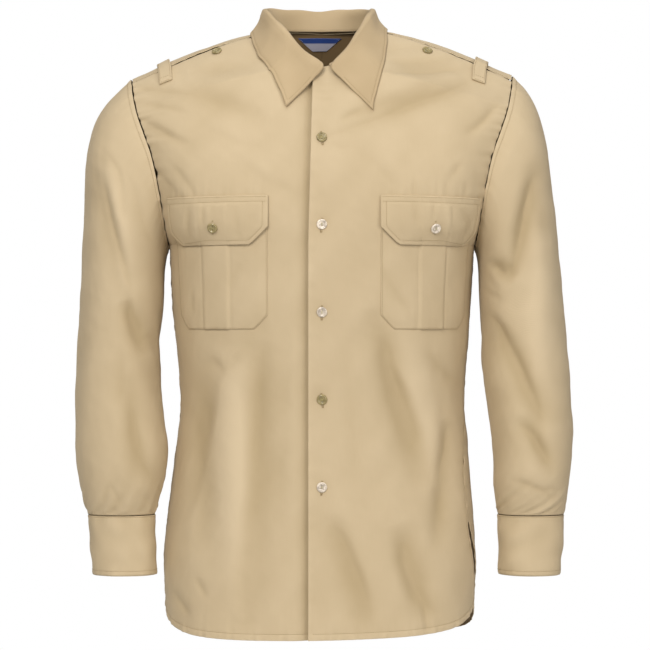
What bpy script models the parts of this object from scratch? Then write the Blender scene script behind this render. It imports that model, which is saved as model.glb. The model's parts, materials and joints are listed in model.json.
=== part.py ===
"""Long-sleeved service shirt in the filled-out form that it has on a wearer, with nobody in it.

Every piece that a maker would cut is a thin closed wall of its own: fronts, back, yoke, collar,
sleeves, cuffs, sleeve plackets, pockets, flaps, shoulder loops, neck label and buttons.

Metres. +X is the wearer's left, -Y the front, +Z up. The origin lies between the shoulders at the
height of the shoulder line beside the neck, where a wearer's shoulders hold the shirt up.
"""
import math

import bpy
import numpy as np
from mathutils import Vector
from mathutils.bvhtree import BVHTree

# Driving dimensions
CLOTH = 0.0012            # wall of one layer, with its seam allowance
SEAM_GAP = 0.0003         # space between two pieces that are sewn together
LAYER_STEP = 0.0019       # from the middle of one layer to the middle of a layer lying on it
OVERLAP = 0.0165          # how far each front runs past the centre line below the chest
OVERLAP_AT_NECK = 0.0110
UNDERARM = -0.262         # height of the bottom of the armhole
FRONT_NECK = -0.047       # height of the neckline at the centre front
JUST_UNDER_NECK = FRONT_NECK - 0.0005
BACK_NECK = 0.010         # height of the neckline at the centre back
SHOULDER_TURN = 0.070     # level given to the yoke's front seam, past the top of the shoulder
YOKE_SEAM = -0.100        # height of the yoke's back seam
LAP_DROP = 0.0021         # how far the right front lies under the left one where they lap
LAP_REACH = 0.017         # half width of the strip that lies so low
FRONT_HEM = -0.7405
HEM_TILT = 0.018          # the front hem hangs lower on the wearer's right
BACK_HEM = -0.754
VENT_TOP = -0.600         # the side seams are open below this
SEAM_BOTTOM = -0.700      # lowest row that the front and the back share at their side edges
VENT_SPREAD = 0.007       # how far each edge of an open vent stands from the seam's line
VENT_OPENING = 0.060      # height over which a vent opens to its full spread
HEM_CORNER_RISE = {-1: 0.041, 1: 0.034}  # the hem's rounded corners, right and left
HEM_BOW = 0.006           # the hem's gentle rise from its middle to its sides
HEM_POWER = 6             # how sharply a rise gathers near the side seam or the hem

POCKET_INNER = {-1: 0.0645, 1: 0.0705}   # along the cloth from the centre line, right and left
POCKET_WIDTH = 0.136
POCKET_BOTTOM = -0.366
POCKET_CHAMFER = 0.017
FRONT_SIDE_STRIP = 0.011  # least width of a front between its pocket's side and its own edge
PLEAT_WIDTH = 0.036
PLEAT_RISE = 0.0011
PLEAT_ROLL = 0.0025       # width of each rounded side of the pleat
PLEAT_COLUMNS = slice(4, 7)
PLEAT_SIDES = (4, 6)      # the pleat's columns that a front doesn't share
FLAP_TOP = -0.205
FLAP_DEPTH = 0.059
FLAP_CHAMFER = 0.023
FLAP_STAND = 0.0016       # how far a flap's lower edge stands off its pocket
POCKET_TOP = FLAP_TOP - 0.010
POCKET_INSET = 0.001       # how far the pocket's sides lie inside the flap's
POCKET_LIFT = LAYER_STEP + 0.0004
FLAP_LIFT = LAYER_STEP * 2 + PLEAT_RISE + 0.0008

BUTTON_RADIUS = 0.0064
BUTTON_THICK = 0.0026
FRONT_BUTTON_TOP = -0.1345
FRONT_BUTTON_PITCH = 0.1055
FRONT_BUTTONS = 5
BUTTON_SIDES = 14
BUTTON_STAND = CLOTH / 2 + 0.0004    # from the middle of its cloth to its back
POCKET_BUTTON_LEVEL = -0.2405

CUFF_TOP = -0.5945
CUFF_BOTTOM = -0.6680
CUFF_START = 0.69         # where a cuff starts round the wrist; 0.5 faces out and 0.75 back
CUFF_END = 0.77           # where it ends, lapping over its start
PLACKET_WIDTH = 0.026     # the strip that binds the slit in the sleeve above the cuff
PLACKET_RISE = 0.115
PLACKET_LIFT = LAYER_STEP + 0.0013
CUFF_LAP_LIFT = 0.0024    # how far the lapping end of a cuff stands over its start
CUFF_LAP_START = 1.61     # where round the wrist it begins to rise
CUFF_LAP_STEP = 0.07

LABEL_TOP_WIDTH = 0.056
LABEL_FOOT_WIDTH = 0.017
LABEL_DEPTH = 0.021
LABEL_CENTRE = -0.003
LABEL_TOP = BACK_NECK - 0.003
LABEL_THICK = 0.0010
LABEL_DEPTH_IN = 0.070     # how far back the yoke is behind the neck
LABEL_LIFT = 0.0018

KHAKI = (0.54, 0.43, 0.27)
LABEL_BLUE = (0.03, 0.07, 0.32)
BUTTON_BONE = (0.62, 0.53, 0.34)

# The torso: height; how far the right and the left side stand out; how far back the widest point
# lies; and where the side seam is, as a share of the way from the centre front to that point.
SIDE_COLUMNS = ("z", "right", "left", "side_y", "seam_right", "seam_left")
SIDES = np.array([
    (-0.770, 0.1940, 0.1890, 0.000, 1.00, 0.96),
    (-0.700, 0.1960, 0.1910, 0.000, 1.00, 0.93),
    (-0.650, 0.1965, 0.1920, 0.002, 1.00, 0.86),
    (-0.600, 0.1920, 0.1890, 0.004, 1.00, 0.80),
    (-0.550, 0.1865, 0.1855, 0.008, 1.00, 0.79),
    (-0.500, 0.1805, 0.1810, 0.012, 0.99, 0.85),
    (-0.460, 0.1770, 0.1780, 0.016, 0.95, 0.95),
    (-0.420, 0.1790, 0.1800, 0.020, 0.95, 1.00),
    (-0.370, 0.1840, 0.1840, 0.020, 0.99, 1.00),
    (-0.310, 0.1890, 0.1870, 0.014, 1.00, 1.00),
    (-0.262, 0.1900, 0.1900, 0.000, 1.00, 1.00),
])

# How far the centre front and the centre back stand out at each height.
CENTRE_COLUMNS = ("z", "front", "back")
CENTRE = np.array([
    (-0.770, 0.1230, 0.1230),
    (-0.700, 0.1220, 0.1210),
    (-0.600, 0.1190, 0.1130),
    (-0.550, 0.1175, 0.1060),
    (-0.500, 0.1165, 0.1000),
    (-0.460, 0.1165, 0.0975),
    (-0.420, 0.1185, 0.0975),
    (-0.370, 0.1215, 0.1015),
    (-0.310, 0.1255, 0.1100),
    (-0.262, 0.1275, 0.1190),
    (-0.210, 0.1255, 0.1235),
    (-0.150, 0.1165, 0.1210),
    (-0.100, 0.1020, 0.1110),
    (-0.047, 0.0820, 0.0930),
    (0.010, 0.0600, 0.0640),
])

# The left armhole, from the underarm up the front, over the shoulder and down the back. "turn" is
# the angle from +X, seen from above, at which the cloth of the body meets it, and "drop" its fall.
ARMHOLE_COLUMNS = ("x", "y", "z", "turn", "drop")
ARMHOLE = np.array([
    (0.1900, 0.000, -0.262, 90, 0.00),
    (0.1925, -0.045, -0.243, 80, 0.00),
    (0.1965, -0.068, -0.212, 65, 0.00),
    (0.2010, -0.077, -0.182, 55, 0.00),
    (0.2080, -0.076, -0.152, 46, 0.00),
    (0.2175, -0.069, -0.126, 38, 0.08),
    (0.2265, -0.057, -0.101, 28, 0.18),
    (0.2320, -0.042, -0.079, 18, 0.30),
    (0.2350, -0.024, -0.062, 10, 0.42),
    (0.2365, -0.002, -0.0545, 0, 0.47),
    (0.2350, 0.022, -0.059, -8, 0.42),
    (0.2310, 0.045, -0.074, -20, 0.32),
    (0.2260, 0.064, -0.098, -33, 0.18),
    (0.2190, 0.077, -0.124, -43, 0.06),
    (0.2110, 0.085, -0.155, -52, 0.00),
    (0.2030, 0.084, -0.188, -62, 0.00),
    (0.1955, 0.068, -0.222, -75, 0.00),
    (0.1915, 0.040, -0.248, -85, 0.00),
    (0.1900, 0.000, -0.262, -90, 0.00),
])
ARMHOLE_ROWS = len(ARMHOLE) - 1
LEFT_SHOULDER_LIFT = 0.0045
LEFT_NECK_LIFT = 0.0030

# The left half of the neckline, from the centre front round to the centre back, with the way in
# which the cloth of the body leaves it.
NECKLINE_COLUMNS = ("x", "y", "z", "out_x", "out_y", "out_z")
NECKLINE = np.array([
    (0.000, -0.0820, -0.047, 1.00, 0.00, 0.00),
    (0.024, -0.0775, -0.041, 0.98, 0.06, -0.06),
    (0.045, -0.0620, -0.028, 0.96, 0.08, -0.14),
    (0.060, -0.0380, -0.011, 0.96, 0.06, -0.18),
    (0.067, -0.0140, 0.001, 0.98, 0.02, -0.14),
    (0.069, 0.0080, 0.005, 0.99, 0.00, -0.12),
    (0.062, 0.0340, 0.009, 0.98, 0.08, -0.12),
    (0.038, 0.0560, 0.010, 0.99, 0.04, -0.06),
    (0.000, 0.0640, 0.010, 1.00, 0.00, 0.00),
])
NECKLINE_FRONT_SEAM = 4
NECKLINE_BACK = len(NECKLINE) - 1

# Where the cloth at each level of the front and the back ends on the armhole, as a row of ARMHOLE,
# and how strongly the level's curve holds the direction of its inner and its outer end.
LEVEL_COLUMNS = ("level", "armhole_row", "hold_in", "hold_out")
FRONT_LEVELS = np.array([
    (UNDERARM, 0.0, 0.56, 0.35),
    (-0.210, 2.0, 0.55, 0.33),
    (-0.150, 3.9, 0.52, 0.30),
    (-0.100, 5.2, 0.48, 0.28),
    (FRONT_NECK, 6.3, 0.42, 0.28),
    (0.000, 8.0, 0.33, 0.30),
])
BACK_LEVELS = np.array([
    (UNDERARM, 18.0, 0.56, 0.35),
    (-0.210, 16.2, 0.55, 0.33),
    (-0.150, 13.9, 0.52, 0.30),
    (YOKE_SEAM, 12.0, 0.48, 0.28),
    (-0.040, 11.0, 0.44, 0.28),
    (BACK_NECK, 10.2, 0.38, 0.28),
    (SHOULDER_TURN, 8.0, 0.33, 0.30),
])

# A sleeve between its armhole and its cuff: heights of its outer and its inner line; how far out
# those lines lie on the right and the left sleeve; half its depth; the depth of its middle.
SLEEVE_COLUMNS = (
    "z_out", "z_in", "right_out", "right_in", "left_out", "left_in", "half_depth", "mid_y")
SLEEVE = np.array([
    (-0.0545, -0.262, 0.2365, 0.1900, 0.2365, 0.1900, 0.0800, 0.004),
    (-0.0700, -0.272, 0.2540, 0.1935, 0.2530, 0.1930, 0.0840, 0.004),
    (-0.0900, -0.284, 0.2720, 0.1960, 0.2660, 0.1955, 0.0860, 0.004),
    (-0.1150, -0.297, 0.2850, 0.1975, 0.2745, 0.1965, 0.0865, 0.003),
    (-0.1500, -0.312, 0.2930, 0.1980, 0.2820, 0.1965, 0.0860, 0.002),
    (-0.1950, -0.330, 0.2955, 0.1980, 0.2870, 0.1970, 0.0840, 0.001),
    (-0.2450, -0.352, 0.2970, 0.2000, 0.2925, 0.1985, 0.0815, -0.001),
    (-0.3000, -0.380, 0.2995, 0.2035, 0.2975, 0.2000, 0.0780, -0.004),
    (-0.3550, -0.412, 0.3020, 0.2020, 0.3020, 0.1995, 0.0745, -0.008),
    (-0.4100, -0.446, 0.3045, 0.2000, 0.3065, 0.2040, 0.0715, -0.013),
    (-0.4600, -0.482, 0.3060, 0.1955, 0.3095, 0.2090, 0.0690, -0.019),
    (-0.5050, -0.515, 0.3050, 0.1915, 0.3100, 0.2120, 0.0660, -0.025),
    (-0.5450, -0.548, 0.3010, 0.1945, 0.3065, 0.2125, 0.0600, -0.030),
    (-0.5750, -0.576, 0.2945, 0.2020, 0.3020, 0.2150, 0.0490, -0.034),
    (-0.5935, -0.5935, 0.2890, 0.2065, 0.2985, 0.2175, 0.0385, -0.036),
])
ROUND_BY_STATION = 6      # by this row of SLEEVE the armhole's own outline has become a round one
SLEEVE_START = 0.0015     # from the armhole's line to the sleeve's edge, over the shoulder
SLEEVE_UNDERARM_START = 0.0022    # and how much more under the arm
SLEEVE_CLEAR = 0.0036     # least distance of the sleeve from the body

# The cuffs: height, outer and inner line of each, half depth and middle depth.
CUFF_COLUMNS = ("z", "right_out", "right_in", "left_out", "left_in", "half_depth", "mid_y")
CUFFS = np.array([
    (CUFF_TOP, 0.2890, 0.2065, 0.2985, 0.2175, 0.0385, -0.036),
    (-0.6200, 0.2870, 0.2060, 0.2975, 0.2180, 0.0380, -0.036),
    (-0.6450, 0.2850, 0.2055, 0.2960, 0.2185, 0.0375, -0.036),
    (CUFF_BOTTOM, 0.2830, 0.2045, 0.2940, 0.2190, 0.0375, -0.036),
])

# The largest folds, seen from the front or the back: both ends, half width and height (a trough is
# negative). Those of the body and those of the sleeves are apart.
FOLD_COLUMNS = ("x1", "z1", "x2", "z2", "width", "height")
BODY_FRONT_FOLDS = np.array([
    (-0.180, -0.066, -0.066, -0.112, 0.013, -0.0035),
    (0.184, -0.062, 0.022, -0.112, 0.012, -0.0045),
    (0.170, -0.040, 0.078, -0.046, 0.009, -0.0030),
    (-0.165, -0.050, -0.080, -0.044, 0.009, -0.0025),
    (-0.112, -0.385, -0.092, -0.720, 0.024, 0.0060),
    (-0.072, -0.380, -0.088, -0.740, 0.020, -0.0060),
    (-0.138, -0.400, -0.150, -0.640, 0.018, -0.0060),
    (0.062, -0.340, 0.124, -0.560, 0.018, -0.0065),
    (0.098, -0.360, 0.160, -0.600, 0.020, 0.0040),
    (0.010, -0.590, 0.055, -0.740, 0.016, -0.0040),
    (0.092, -0.600, 0.128, -0.720, 0.016, -0.0055),
    (0.155, -0.475, 0.140, -0.640, 0.012, -0.0060),
])
BODY_BACK_FOLDS = np.array([
    (-0.150, -0.230, -0.060, -0.430, 0.022, -0.0050),
    (0.155, -0.220, 0.070, -0.440, 0.022, -0.0055),
    (-0.030, -0.400, -0.060, -0.745, 0.024, 0.0060),
    (0.045, -0.420, 0.080, -0.745, 0.022, 0.0055),
    (-0.120, -0.430, -0.135, -0.720, 0.020, -0.0060),
    (0.005, -0.450, 0.012, -0.745, 0.020, -0.0055),
    (0.130, -0.400, 0.128, -0.700, 0.018, -0.0050),
])
SLEEVE_FRONT_FOLDS = np.array([
    (-0.280, -0.150, -0.240, -0.330, 0.012, -0.0045),
    (-0.262, -0.160, -0.232, -0.300, 0.012, 0.0045),
    (-0.240, -0.330, -0.214, -0.400, 0.011, -0.0060),
    (-0.236, -0.420, -0.222, -0.560, 0.013, -0.0040),
    (0.262, -0.160, 0.234, -0.305, 0.013, -0.0065),
    (0.202, -0.280, 0.236, -0.306, 0.010, -0.0050),
    (0.206, -0.350, 0.276, -0.490, 0.015, -0.0060),
    (0.242, -0.470, 0.284, -0.545, 0.011, -0.0050),
    (0.270, -0.240, 0.262, -0.460, 0.016, 0.0045),
])
SLEEVE_BACK_FOLDS = np.array([
    (-0.270, -0.150, -0.232, -0.330, 0.014, -0.0050),
    (-0.225, -0.360, -0.275, -0.470, 0.013, -0.0055),
    (0.265, -0.160, 0.230, -0.320, 0.014, -0.0050),
    (0.225, -0.380, 0.280, -0.480, 0.013, -0.0055),
])

# The collar's three lines, from the wearer's right end round the back to the left end: the top fold
# and the outer edge of the fall. The third, the seam, is the neckline itself.
FOLD_LINE = np.array([
    (0.0015, -0.0880, -0.0430),
    (-0.0200, -0.0820, -0.0270),
    (-0.0440, -0.0640, -0.0010),
    (-0.0640, -0.0330, 0.0240),
    (-0.0715, 0.0050, 0.0350),
    (-0.0580, 0.0450, 0.0395),
    (0.0000, 0.0700, 0.0400),
    (0.0500, 0.0480, 0.0395),
    (0.0630, 0.0080, 0.0350),
    (0.0580, -0.0310, 0.0230),
    (0.0440, -0.0600, -0.0010),
    (0.0290, -0.0790, -0.0240),
    (0.0110, -0.0880, -0.0430),
])
FALL_EDGE = np.array([
    (-0.0425, -0.1120, -0.0940),
    (-0.0550, -0.1040, -0.0620),
    (-0.0680, -0.0900, -0.0390),
    (-0.0800, -0.0640, -0.0190),
    (-0.0870, -0.0250, -0.0060),
    (-0.0880, 0.0150, 0.0040),
    (-0.0700, 0.0620, -0.0020),
    (0.0000, 0.0920, -0.0080),
    (0.0670, 0.0620, -0.0020),
    (0.0790, 0.0150, 0.0030),
    (0.0800, -0.0250, -0.0070),
    (0.0800, -0.0560, -0.0200),
    (0.0760, -0.0820, -0.0400),
    (0.0690, -0.0980, -0.0660),
    (0.0626, -0.1100, -0.0975),
])
COLLAR_END = 0.94         # from this share of the way round, the seam's ends spread apart
COLLAR_END_SPREAD = 0.004
COLLAR_END_SHIFT = 0.005
COLLAR_SEAM_IN = 0.0030   # how far inside and above the neckline the collar's seam stands
COLLAR_OVER_FROM = 0.85    # share of the half neck from which the collar lies on the over front
COLLAR_OVER_RISE = 0.0012
COLLAR_END_RISE = 0.0010
COLLAR_SEAM_UP = 0.0018
NECK_MIDDLE = np.array([0.0, -0.006, 0.0])
FALL_EDGE_LIFT = 0.0050
FALL_LIFT = 0.0056        # least height of the fall over the body
ROLL = 0.0030             # half the width of the collar's fold, inside to outside
# Its roll in shares of that radius: how far inside the fold line, and how far below it
ROLL_SHAPE = (
    (1.00, 1.33),
    (0.55, 0.27),
    (-0.55, 0.27),
    (-1.40, 1.83),
)
FALL_HOLLOW = 0.0022      # how far the fall curves in between its fold and its flared edge

# Each shoulder loop: where its two ends and its top lie, and its width.
LOOP_WIDTH = 0.016
LOOP_SLOPE = 0.16         # fall of the loop across its width, as the shoulder falls
LOOP_END_LIFT = 0.0017
LOOP_STAND = 0.0020       # how far the loop's middle stands higher than its ends
LOOP_PATH = np.array([
    (0.1930, -0.0520, -0.0600),
    (0.1950, -0.0320, -0.0430),
    (0.1980, -0.0080, -0.0330),
    (0.1985, 0.0160, -0.0360),
    (0.1960, 0.0340, -0.0470),
])
SHOULDER_BUTTON = (0.131, -0.032, -0.019)


def smooth(knots, values, at):
    """A curve with no corners through values at knots."""
    knots, values, at = np.asarray(knots, float), np.asarray(values, float), np.asarray(at, float)
    slopes = np.gradient(values, knots, axis=0)
    i = np.clip(np.searchsorted(knots, at, side="right") - 1, 0, len(knots) - 2)
    step = knots[i + 1] - knots[i]
    t = np.clip((at - knots[i]) / step, 0.0, 1.0)
    if values.ndim > 1:
        t, step = t[..., None], step[..., None]
    start, end = (1 + 2 * t) * (1 - t) ** 2, t * t * (3 - 2 * t)
    leave, arrive = t * (1 - t) ** 2 * step, -t * t * (1 - t) * step
    return values[i] * start + values[i + 1] * end + slopes[i] * leave + slopes[i + 1] * arrive


def column(table, names, name, at, key=None):
    """One named column of a table, read at a value of its first column (or of another)."""
    keys = table[:, names.index(key or names[0])]
    return smooth(keys, table[:, names.index(name)], at)


def armhole(row, hand):
    """Point of an armhole, at a row of its table that need not be whole."""
    closed = np.vstack([ARMHOLE[-2], ARMHOLE, ARMHOLE[1]])[:, :3]
    point = smooth(np.arange(-1, ARMHOLE_ROWS + 2), closed, row) * (hand, 1, 1)
    if hand > 0:
        point[2] += LEFT_SHOULDER_LIFT * math.exp(-((row - ARMHOLE_ROWS / 2) / 3.5) ** 2)
    return point


def armhole_direction(row, hand):
    """The way in which the body's cloth runs as it reaches the armhole."""
    rows = np.arange(ARMHOLE_ROWS + 1)
    turn = math.radians(np.interp(row, rows, ARMHOLE[:, ARMHOLE_COLUMNS.index("turn")]))
    drop = np.interp(row, rows, ARMHOLE[:, ARMHOLE_COLUMNS.index("drop")])
    way = np.array([math.cos(turn) * hand, math.sin(turn), -drop])
    return way / np.linalg.norm(way)


def neckline(row, hand):
    """Point of the neckline and the way in which the body's cloth leaves it."""
    found = smooth(np.arange(len(NECKLINE)), NECKLINE, row)
    way = found[3:] * (hand, 1, 1)
    place = found[:3] * (hand, 1, 1)
    if hand > 0:
        place[2] += LEFT_NECK_LIFT * math.exp(-((row - NECKLINE_FRONT_SEAM - 0.5) / 1.4) ** 2)
    return place, way / np.linalg.norm(way)


def curve_between(a, b, way_a, way_b, hold_a, hold_b, count=161):
    """Points of the curve from a to b that leaves along way_a and arrives along way_b."""
    chord = np.linalg.norm(b - a)
    handles = (a, a + way_a * chord * hold_a, b - way_b * chord * hold_b, b)
    t = np.linspace(0, 1, count)[:, None]
    shares = ((1 - t) ** 3, 3 * t * (1 - t) ** 2, 3 * t * t * (1 - t), t ** 3)
    return sum(share * handle for share, handle in zip(shares, handles))


def lengths(points):
    """Distance along a row of points."""
    return np.concatenate([[0], np.cumsum(np.linalg.norm(np.diff(points, axis=0), axis=1))])


def at_length(points, wanted):
    """Points at the given distances along a row of points."""
    known = lengths(points)
    return np.stack([np.interp(wanted, known, points[:, k]) for k in range(3)], axis=-1)


def body_level(hand, level, face):
    """The cloth at one level of one half of the body, from its centre or neck edge outwards.

    face is -1 for the front and 1 for the back. Up to the neck a level is the height at the centre
    line. Past it, levels run on along the neckline to the yoke's front seam.
    """
    top = FRONT_NECK if face < 0 else BACK_NECK
    last = 0.0 if face < 0 else SHOULDER_TURN
    table = FRONT_LEVELS if face < 0 else BACK_LEVELS
    name = "right" if hand < 0 else "left"
    if level <= top:
        depth = column(CENTRE, CENTRE_COLUMNS, "front" if face < 0 else "back", level)
        start, way_in = np.array([0, face * depth, level]), np.array([hand, 0.0, 0.0])
    else:
        share = (level - top) / (last - top)
        rows = (0, NECKLINE_FRONT_SEAM) if face < 0 else (NECKLINE_BACK, NECKLINE_FRONT_SEAM)
        start, way_in = neckline(rows[0] + share * (rows[1] - rows[0]), hand)
    if level <= UNDERARM:
        width = column(SIDES, SIDE_COLUMNS, name, level)
        end = np.array([hand * width, column(SIDES, SIDE_COLUMNS, "side_y", level), level])
        way_out, (hold_in, hold_out) = np.array([0.0, -face, 0.0]), table[0, 2:]
    else:
        row = column(table, LEVEL_COLUMNS, "armhole_row", level)
        end, way_out = armhole(row, hand), armhole_direction(row, hand)
        hold_in = column(table, LEVEL_COLUMNS, "hold_in", level)
        hold_out = column(table, LEVEL_COLUMNS, "hold_out", level)
    return curve_between(start, end, way_in, way_out, hold_in, hold_out)


def side_seam(hand, level):
    """Where the side seam is, as a share of the front's curve at this level."""
    name = "seam_right" if hand < 0 else "seam_left"
    return float(column(SIDES, SIDE_COLUMNS, name, level)) if level < UNDERARM else 1.0


def overlap(level):
    """How far each front runs past the centre line at one level."""
    return float(np.interp(level, (UNDERARM, FRONT_NECK), (OVERLAP, OVERLAP_AT_NECK)))


def lowness(level, lowest):
    """0 at the armhole's foot and above, and 1 at the hem, gathered near the hem."""
    return np.clip((UNDERARM - level) / (UNDERARM - lowest), 0, 1) ** HEM_POWER


def hem_rise(hand, share, level, lowest):
    """How far a row near the hem is lifted, at a share of the way to the side seam."""
    share = np.clip(share, 0, 1)
    corner = HEM_CORNER_RISE[hand] * share ** HEM_POWER
    return (corner + HEM_BOW * share ** 2) * lowness(level, lowest)


def edge_trim(level):
    """Distance from a side seam or armhole to a panel's edge: half a gap, more in an open vent."""
    opened = np.clip((VENT_TOP - level) / VENT_OPENING, 0, 1)
    return SEAM_GAP / 2 + VENT_SPREAD * opened * (2 - opened)


def front_points(hand, distances, level):
    """Points of a front at distances along its cloth from the centre line, at one level."""
    curve = body_level(hand, level, -1)
    distances = np.asarray(distances, float)
    points = at_length(curve, np.abs(distances))
    points[distances < 0, 0] *= -1
    reach = lengths(curve)[-1] * side_seam(hand, level)
    points[:, 2] += hem_rise(hand, distances / reach, level, FRONT_HEM)
    points[:, 2] += HEM_TILT * points[:, 0] * lowness(level, FRONT_HEM)
    return points


def front_reach(hand, level):
    """Distance along a front from its centre or neck edge to its side seam or armhole."""
    return lengths(body_level(hand, level, -1))[-1] * side_seam(hand, level)


def back_row(hand, level, shares):
    """Points of half of the back or yoke, at shares of the way from its inner edge outwards."""
    curve = body_level(hand, level, 1)
    reach = lengths(curve)[-1]
    if level < UNDERARM and side_seam(hand, level) < 1:
        front = body_level(hand, level, -1)[::-1]
        borrowed = lengths(front)[-1] * (1 - side_seam(hand, level))
        curve = np.vstack([curve, at_length(front, np.linspace(0, borrowed, 12)[1:])])
        reach += borrowed
    points = at_length(curve, np.asarray(shares) * (reach - edge_trim(level)))
    points[:, 2] += hem_rise(hand, np.asarray(shares), level, BACK_HEM)
    return points


def normals_of(grid, closed=False):
    """Unit normals of a grid of points, whose columns run round a loop if it is closed."""
    if closed:
        across = (np.roll(grid, -1, axis=1) - np.roll(grid, 1, axis=1)) / 2
    else:
        across = np.gradient(grid, axis=1)
    along = np.gradient(grid, axis=0)
    found = np.cross(across, along)
    return found / np.maximum(np.linalg.norm(found, axis=2, keepdims=True), 1e-9)


def fold_height(grid, folds):
    """Sum of the folds' heights at each point of a grid, as seen from the front or the back."""
    total = np.zeros(grid.shape[:2])
    for x1, z1, x2, z2, width, height in folds:
        start, run = np.array([x1, z1]), np.array([x2 - x1, z2 - z1])
        offset = grid[..., [0, 2]] - start
        along = (offset @ run) / (run @ run)
        aside = (offset[..., 0] * run[1] - offset[..., 1] * run[0]) / np.linalg.norm(run)
        fade = np.sin(math.pi * np.clip(along, 0, 1)) ** 0.8
        total += height * np.exp(-(aside / width) ** 2) * fade
    return total


def folded(grid, front_folds, back_folds, closed=False, strength=None):
    """The grid with its folds raised along its normals, on the side from which they are seen."""
    normals = normals_of(grid, closed)
    facing_front = np.clip(-normals[..., 1] * 1.6, 0, 1)
    facing_back = np.clip(normals[..., 1] * 1.6, 0, 1)
    height = fold_height(grid, front_folds) * facing_front
    height += fold_height(grid, back_folds) * facing_back
    if strength is not None:
        height = height * strength
    return grid + normals * height[..., None]


def raised(grid, distance, closed=False):
    """The grid moved out along its normals."""
    return grid + normals_of(grid, closed) * np.asarray(distance)[..., None]


def outward(grid):
    """The grid with its columns in the order that makes its normals point away from the body."""
    away = grid * (1, 1, 0)
    return grid if (normals_of(grid) * away).sum() > 0 else grid[:, ::-1]


# Materials and meshes
def material(name, colour, roughness):
    made = bpy.data.materials.new(name)
    made.use_nodes = True
    shader = made.node_tree.nodes["Principled BSDF"]
    shader.inputs["Base Color"].default_value = (*colour, 1)
    shader.inputs["Roughness"].default_value = roughness
    return made


def mesh_object(name, points, faces, finish):
    mesh = bpy.data.meshes.new(name)
    mesh.from_pydata([tuple(p) for p in points], [], faces)
    mesh.update()
    mesh.shade_smooth()
    mesh.materials.append(finish)
    made = bpy.data.objects.new(name, mesh)
    bpy.context.scene.collection.objects.link(made)
    return made


def grid_faces(rows, columns, closed=False, first=0):
    """Quads of a grid whose points are numbered row by row."""
    last = columns if closed else columns - 1
    return [
        (
            first + r * columns + c,
            first + r * columns + (c + 1) % columns,
            first + (r + 1) * columns + (c + 1) % columns,
            first + (r + 1) * columns + c,
        )
        for r in range(rows - 1)
        for c in range(last)
    ]


def thicken(made, thickness):
    """Gives a sheet its wall, half to each side."""
    wall = made.modifiers.new("wall", "SOLIDIFY")
    wall.thickness = thickness
    wall.offset = 0
    wall.use_even_offset = True
    return made


def cloth(name, grid, finish, thickness=CLOTH, closed=False):
    """A grid of points made into a wall of cloth."""
    faces = grid_faces(*grid.shape[:2], closed)
    return thicken(mesh_object(name, grid.reshape(-1, 3), faces, finish), thickness)


def surface_tree(grids):
    """The given grids as one surface, for finding the nearest point of it."""
    points, faces = [], []
    for grid, closed in grids:
        faces += grid_faces(*grid.shape[:2], closed, len(points))
        points += [Vector(p) for p in grid.reshape(-1, 3)]
    return BVHTree.FromPolygons(points, faces)


def laid_on(points, tree, lift):
    """Each point put at this distance over the nearest point of a surface."""
    laid = []
    for point in np.asarray(points).reshape(-1, 3):
        place, normal, _, _ = tree.find_nearest(Vector(point))
        laid.append(place + normal * lift)
    return np.array(laid).reshape(np.shape(points))


def kept_off(points, tree, lift, reach=0.03):
    """Each point that lies under a surface, or closer over it than lift, moved out to lift.

    A point beside the surface, past its edge, stays where it is.
    """
    kept = []
    for point in np.asarray(points).reshape(-1, 3):
        place, normal, _, distance = tree.find_nearest(Vector(point))
        offset = Vector(point) - place
        height = offset.dot(normal)
        aside = (offset - normal * height).length
        over = aside < 0.5 * distance + 1e-6
        kept.append(place + normal * lift if over and height < lift and distance < reach
                    else Vector(point))
    return np.array(kept).reshape(np.shape(points))


# Body
def skirt_levels(hem):
    """The levels of the rows below the armhole. Front and back share those of the side seam."""
    seam = np.linspace(SEAM_BOTTOM, UNDERARM, 15)
    return np.concatenate([[hem, (hem + SEAM_BOTTOM) / 2], seam])


def front_levels():
    """The levels of a front's rows, from its hem to the yoke's front seam."""
    chest = np.linspace(UNDERARM, JUST_UNDER_NECK, 8)[1:]
    neck = np.linspace(FRONT_NECK, 0.0, 6)[1:]
    return np.concatenate([skirt_levels(FRONT_HEM), chest, neck])


def front_columns(hand, level):
    """Distances along the cloth of a front's columns; beside the pocket they are the pocket's."""
    reach = front_reach(hand, level) - edge_trim(level)
    main = np.delete(pocket_columns(hand), PLEAT_SIDES)
    if level >= FRONT_NECK:
        return np.linspace(SEAM_GAP / 2, reach, len(main) + 6)
    fitted = main * min(1.0, (reach - FRONT_SIDE_STRIP) / main[-1])
    lap = overlap(level)
    between = (lap + fitted[0]) / 2
    side = np.linspace(fitted[-1], reach, 4)[1:]
    return np.concatenate([[-lap, lap, between], fitted, side])


def front_grid(hand):
    """A front's points. The wearer's right front lies under the left one at the overlap."""
    rows = []
    for level in front_levels():
        points = front_points(hand, front_columns(hand, level), level)
        if level >= 0.0:
            points[:, 2] -= SEAM_GAP
            points[:, 1] -= SEAM_GAP
        rows.append(points)
    grid = outward(np.array(rows))
    grid = folded(grid, BODY_FRONT_FOLDS, BODY_BACK_FOLDS)
    if hand < 0:
        grid = raised(grid, -LAP_DROP * np.clip(2 - np.abs(grid[..., 0]) / LAP_REACH, 0, 1))
    return grid


def back_grid(hand, columns=11):
    """Half of the back below the yoke, from its centre outwards."""
    shares = np.linspace(0, 1, columns)
    levels = np.concatenate([skirt_levels(BACK_HEM), np.linspace(UNDERARM, YOKE_SEAM, 6)[1:]])
    grid = np.array([back_row(hand, level, shares) for level in levels])
    return folded(outward(grid), BODY_FRONT_FOLDS, BODY_BACK_FOLDS)


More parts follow.
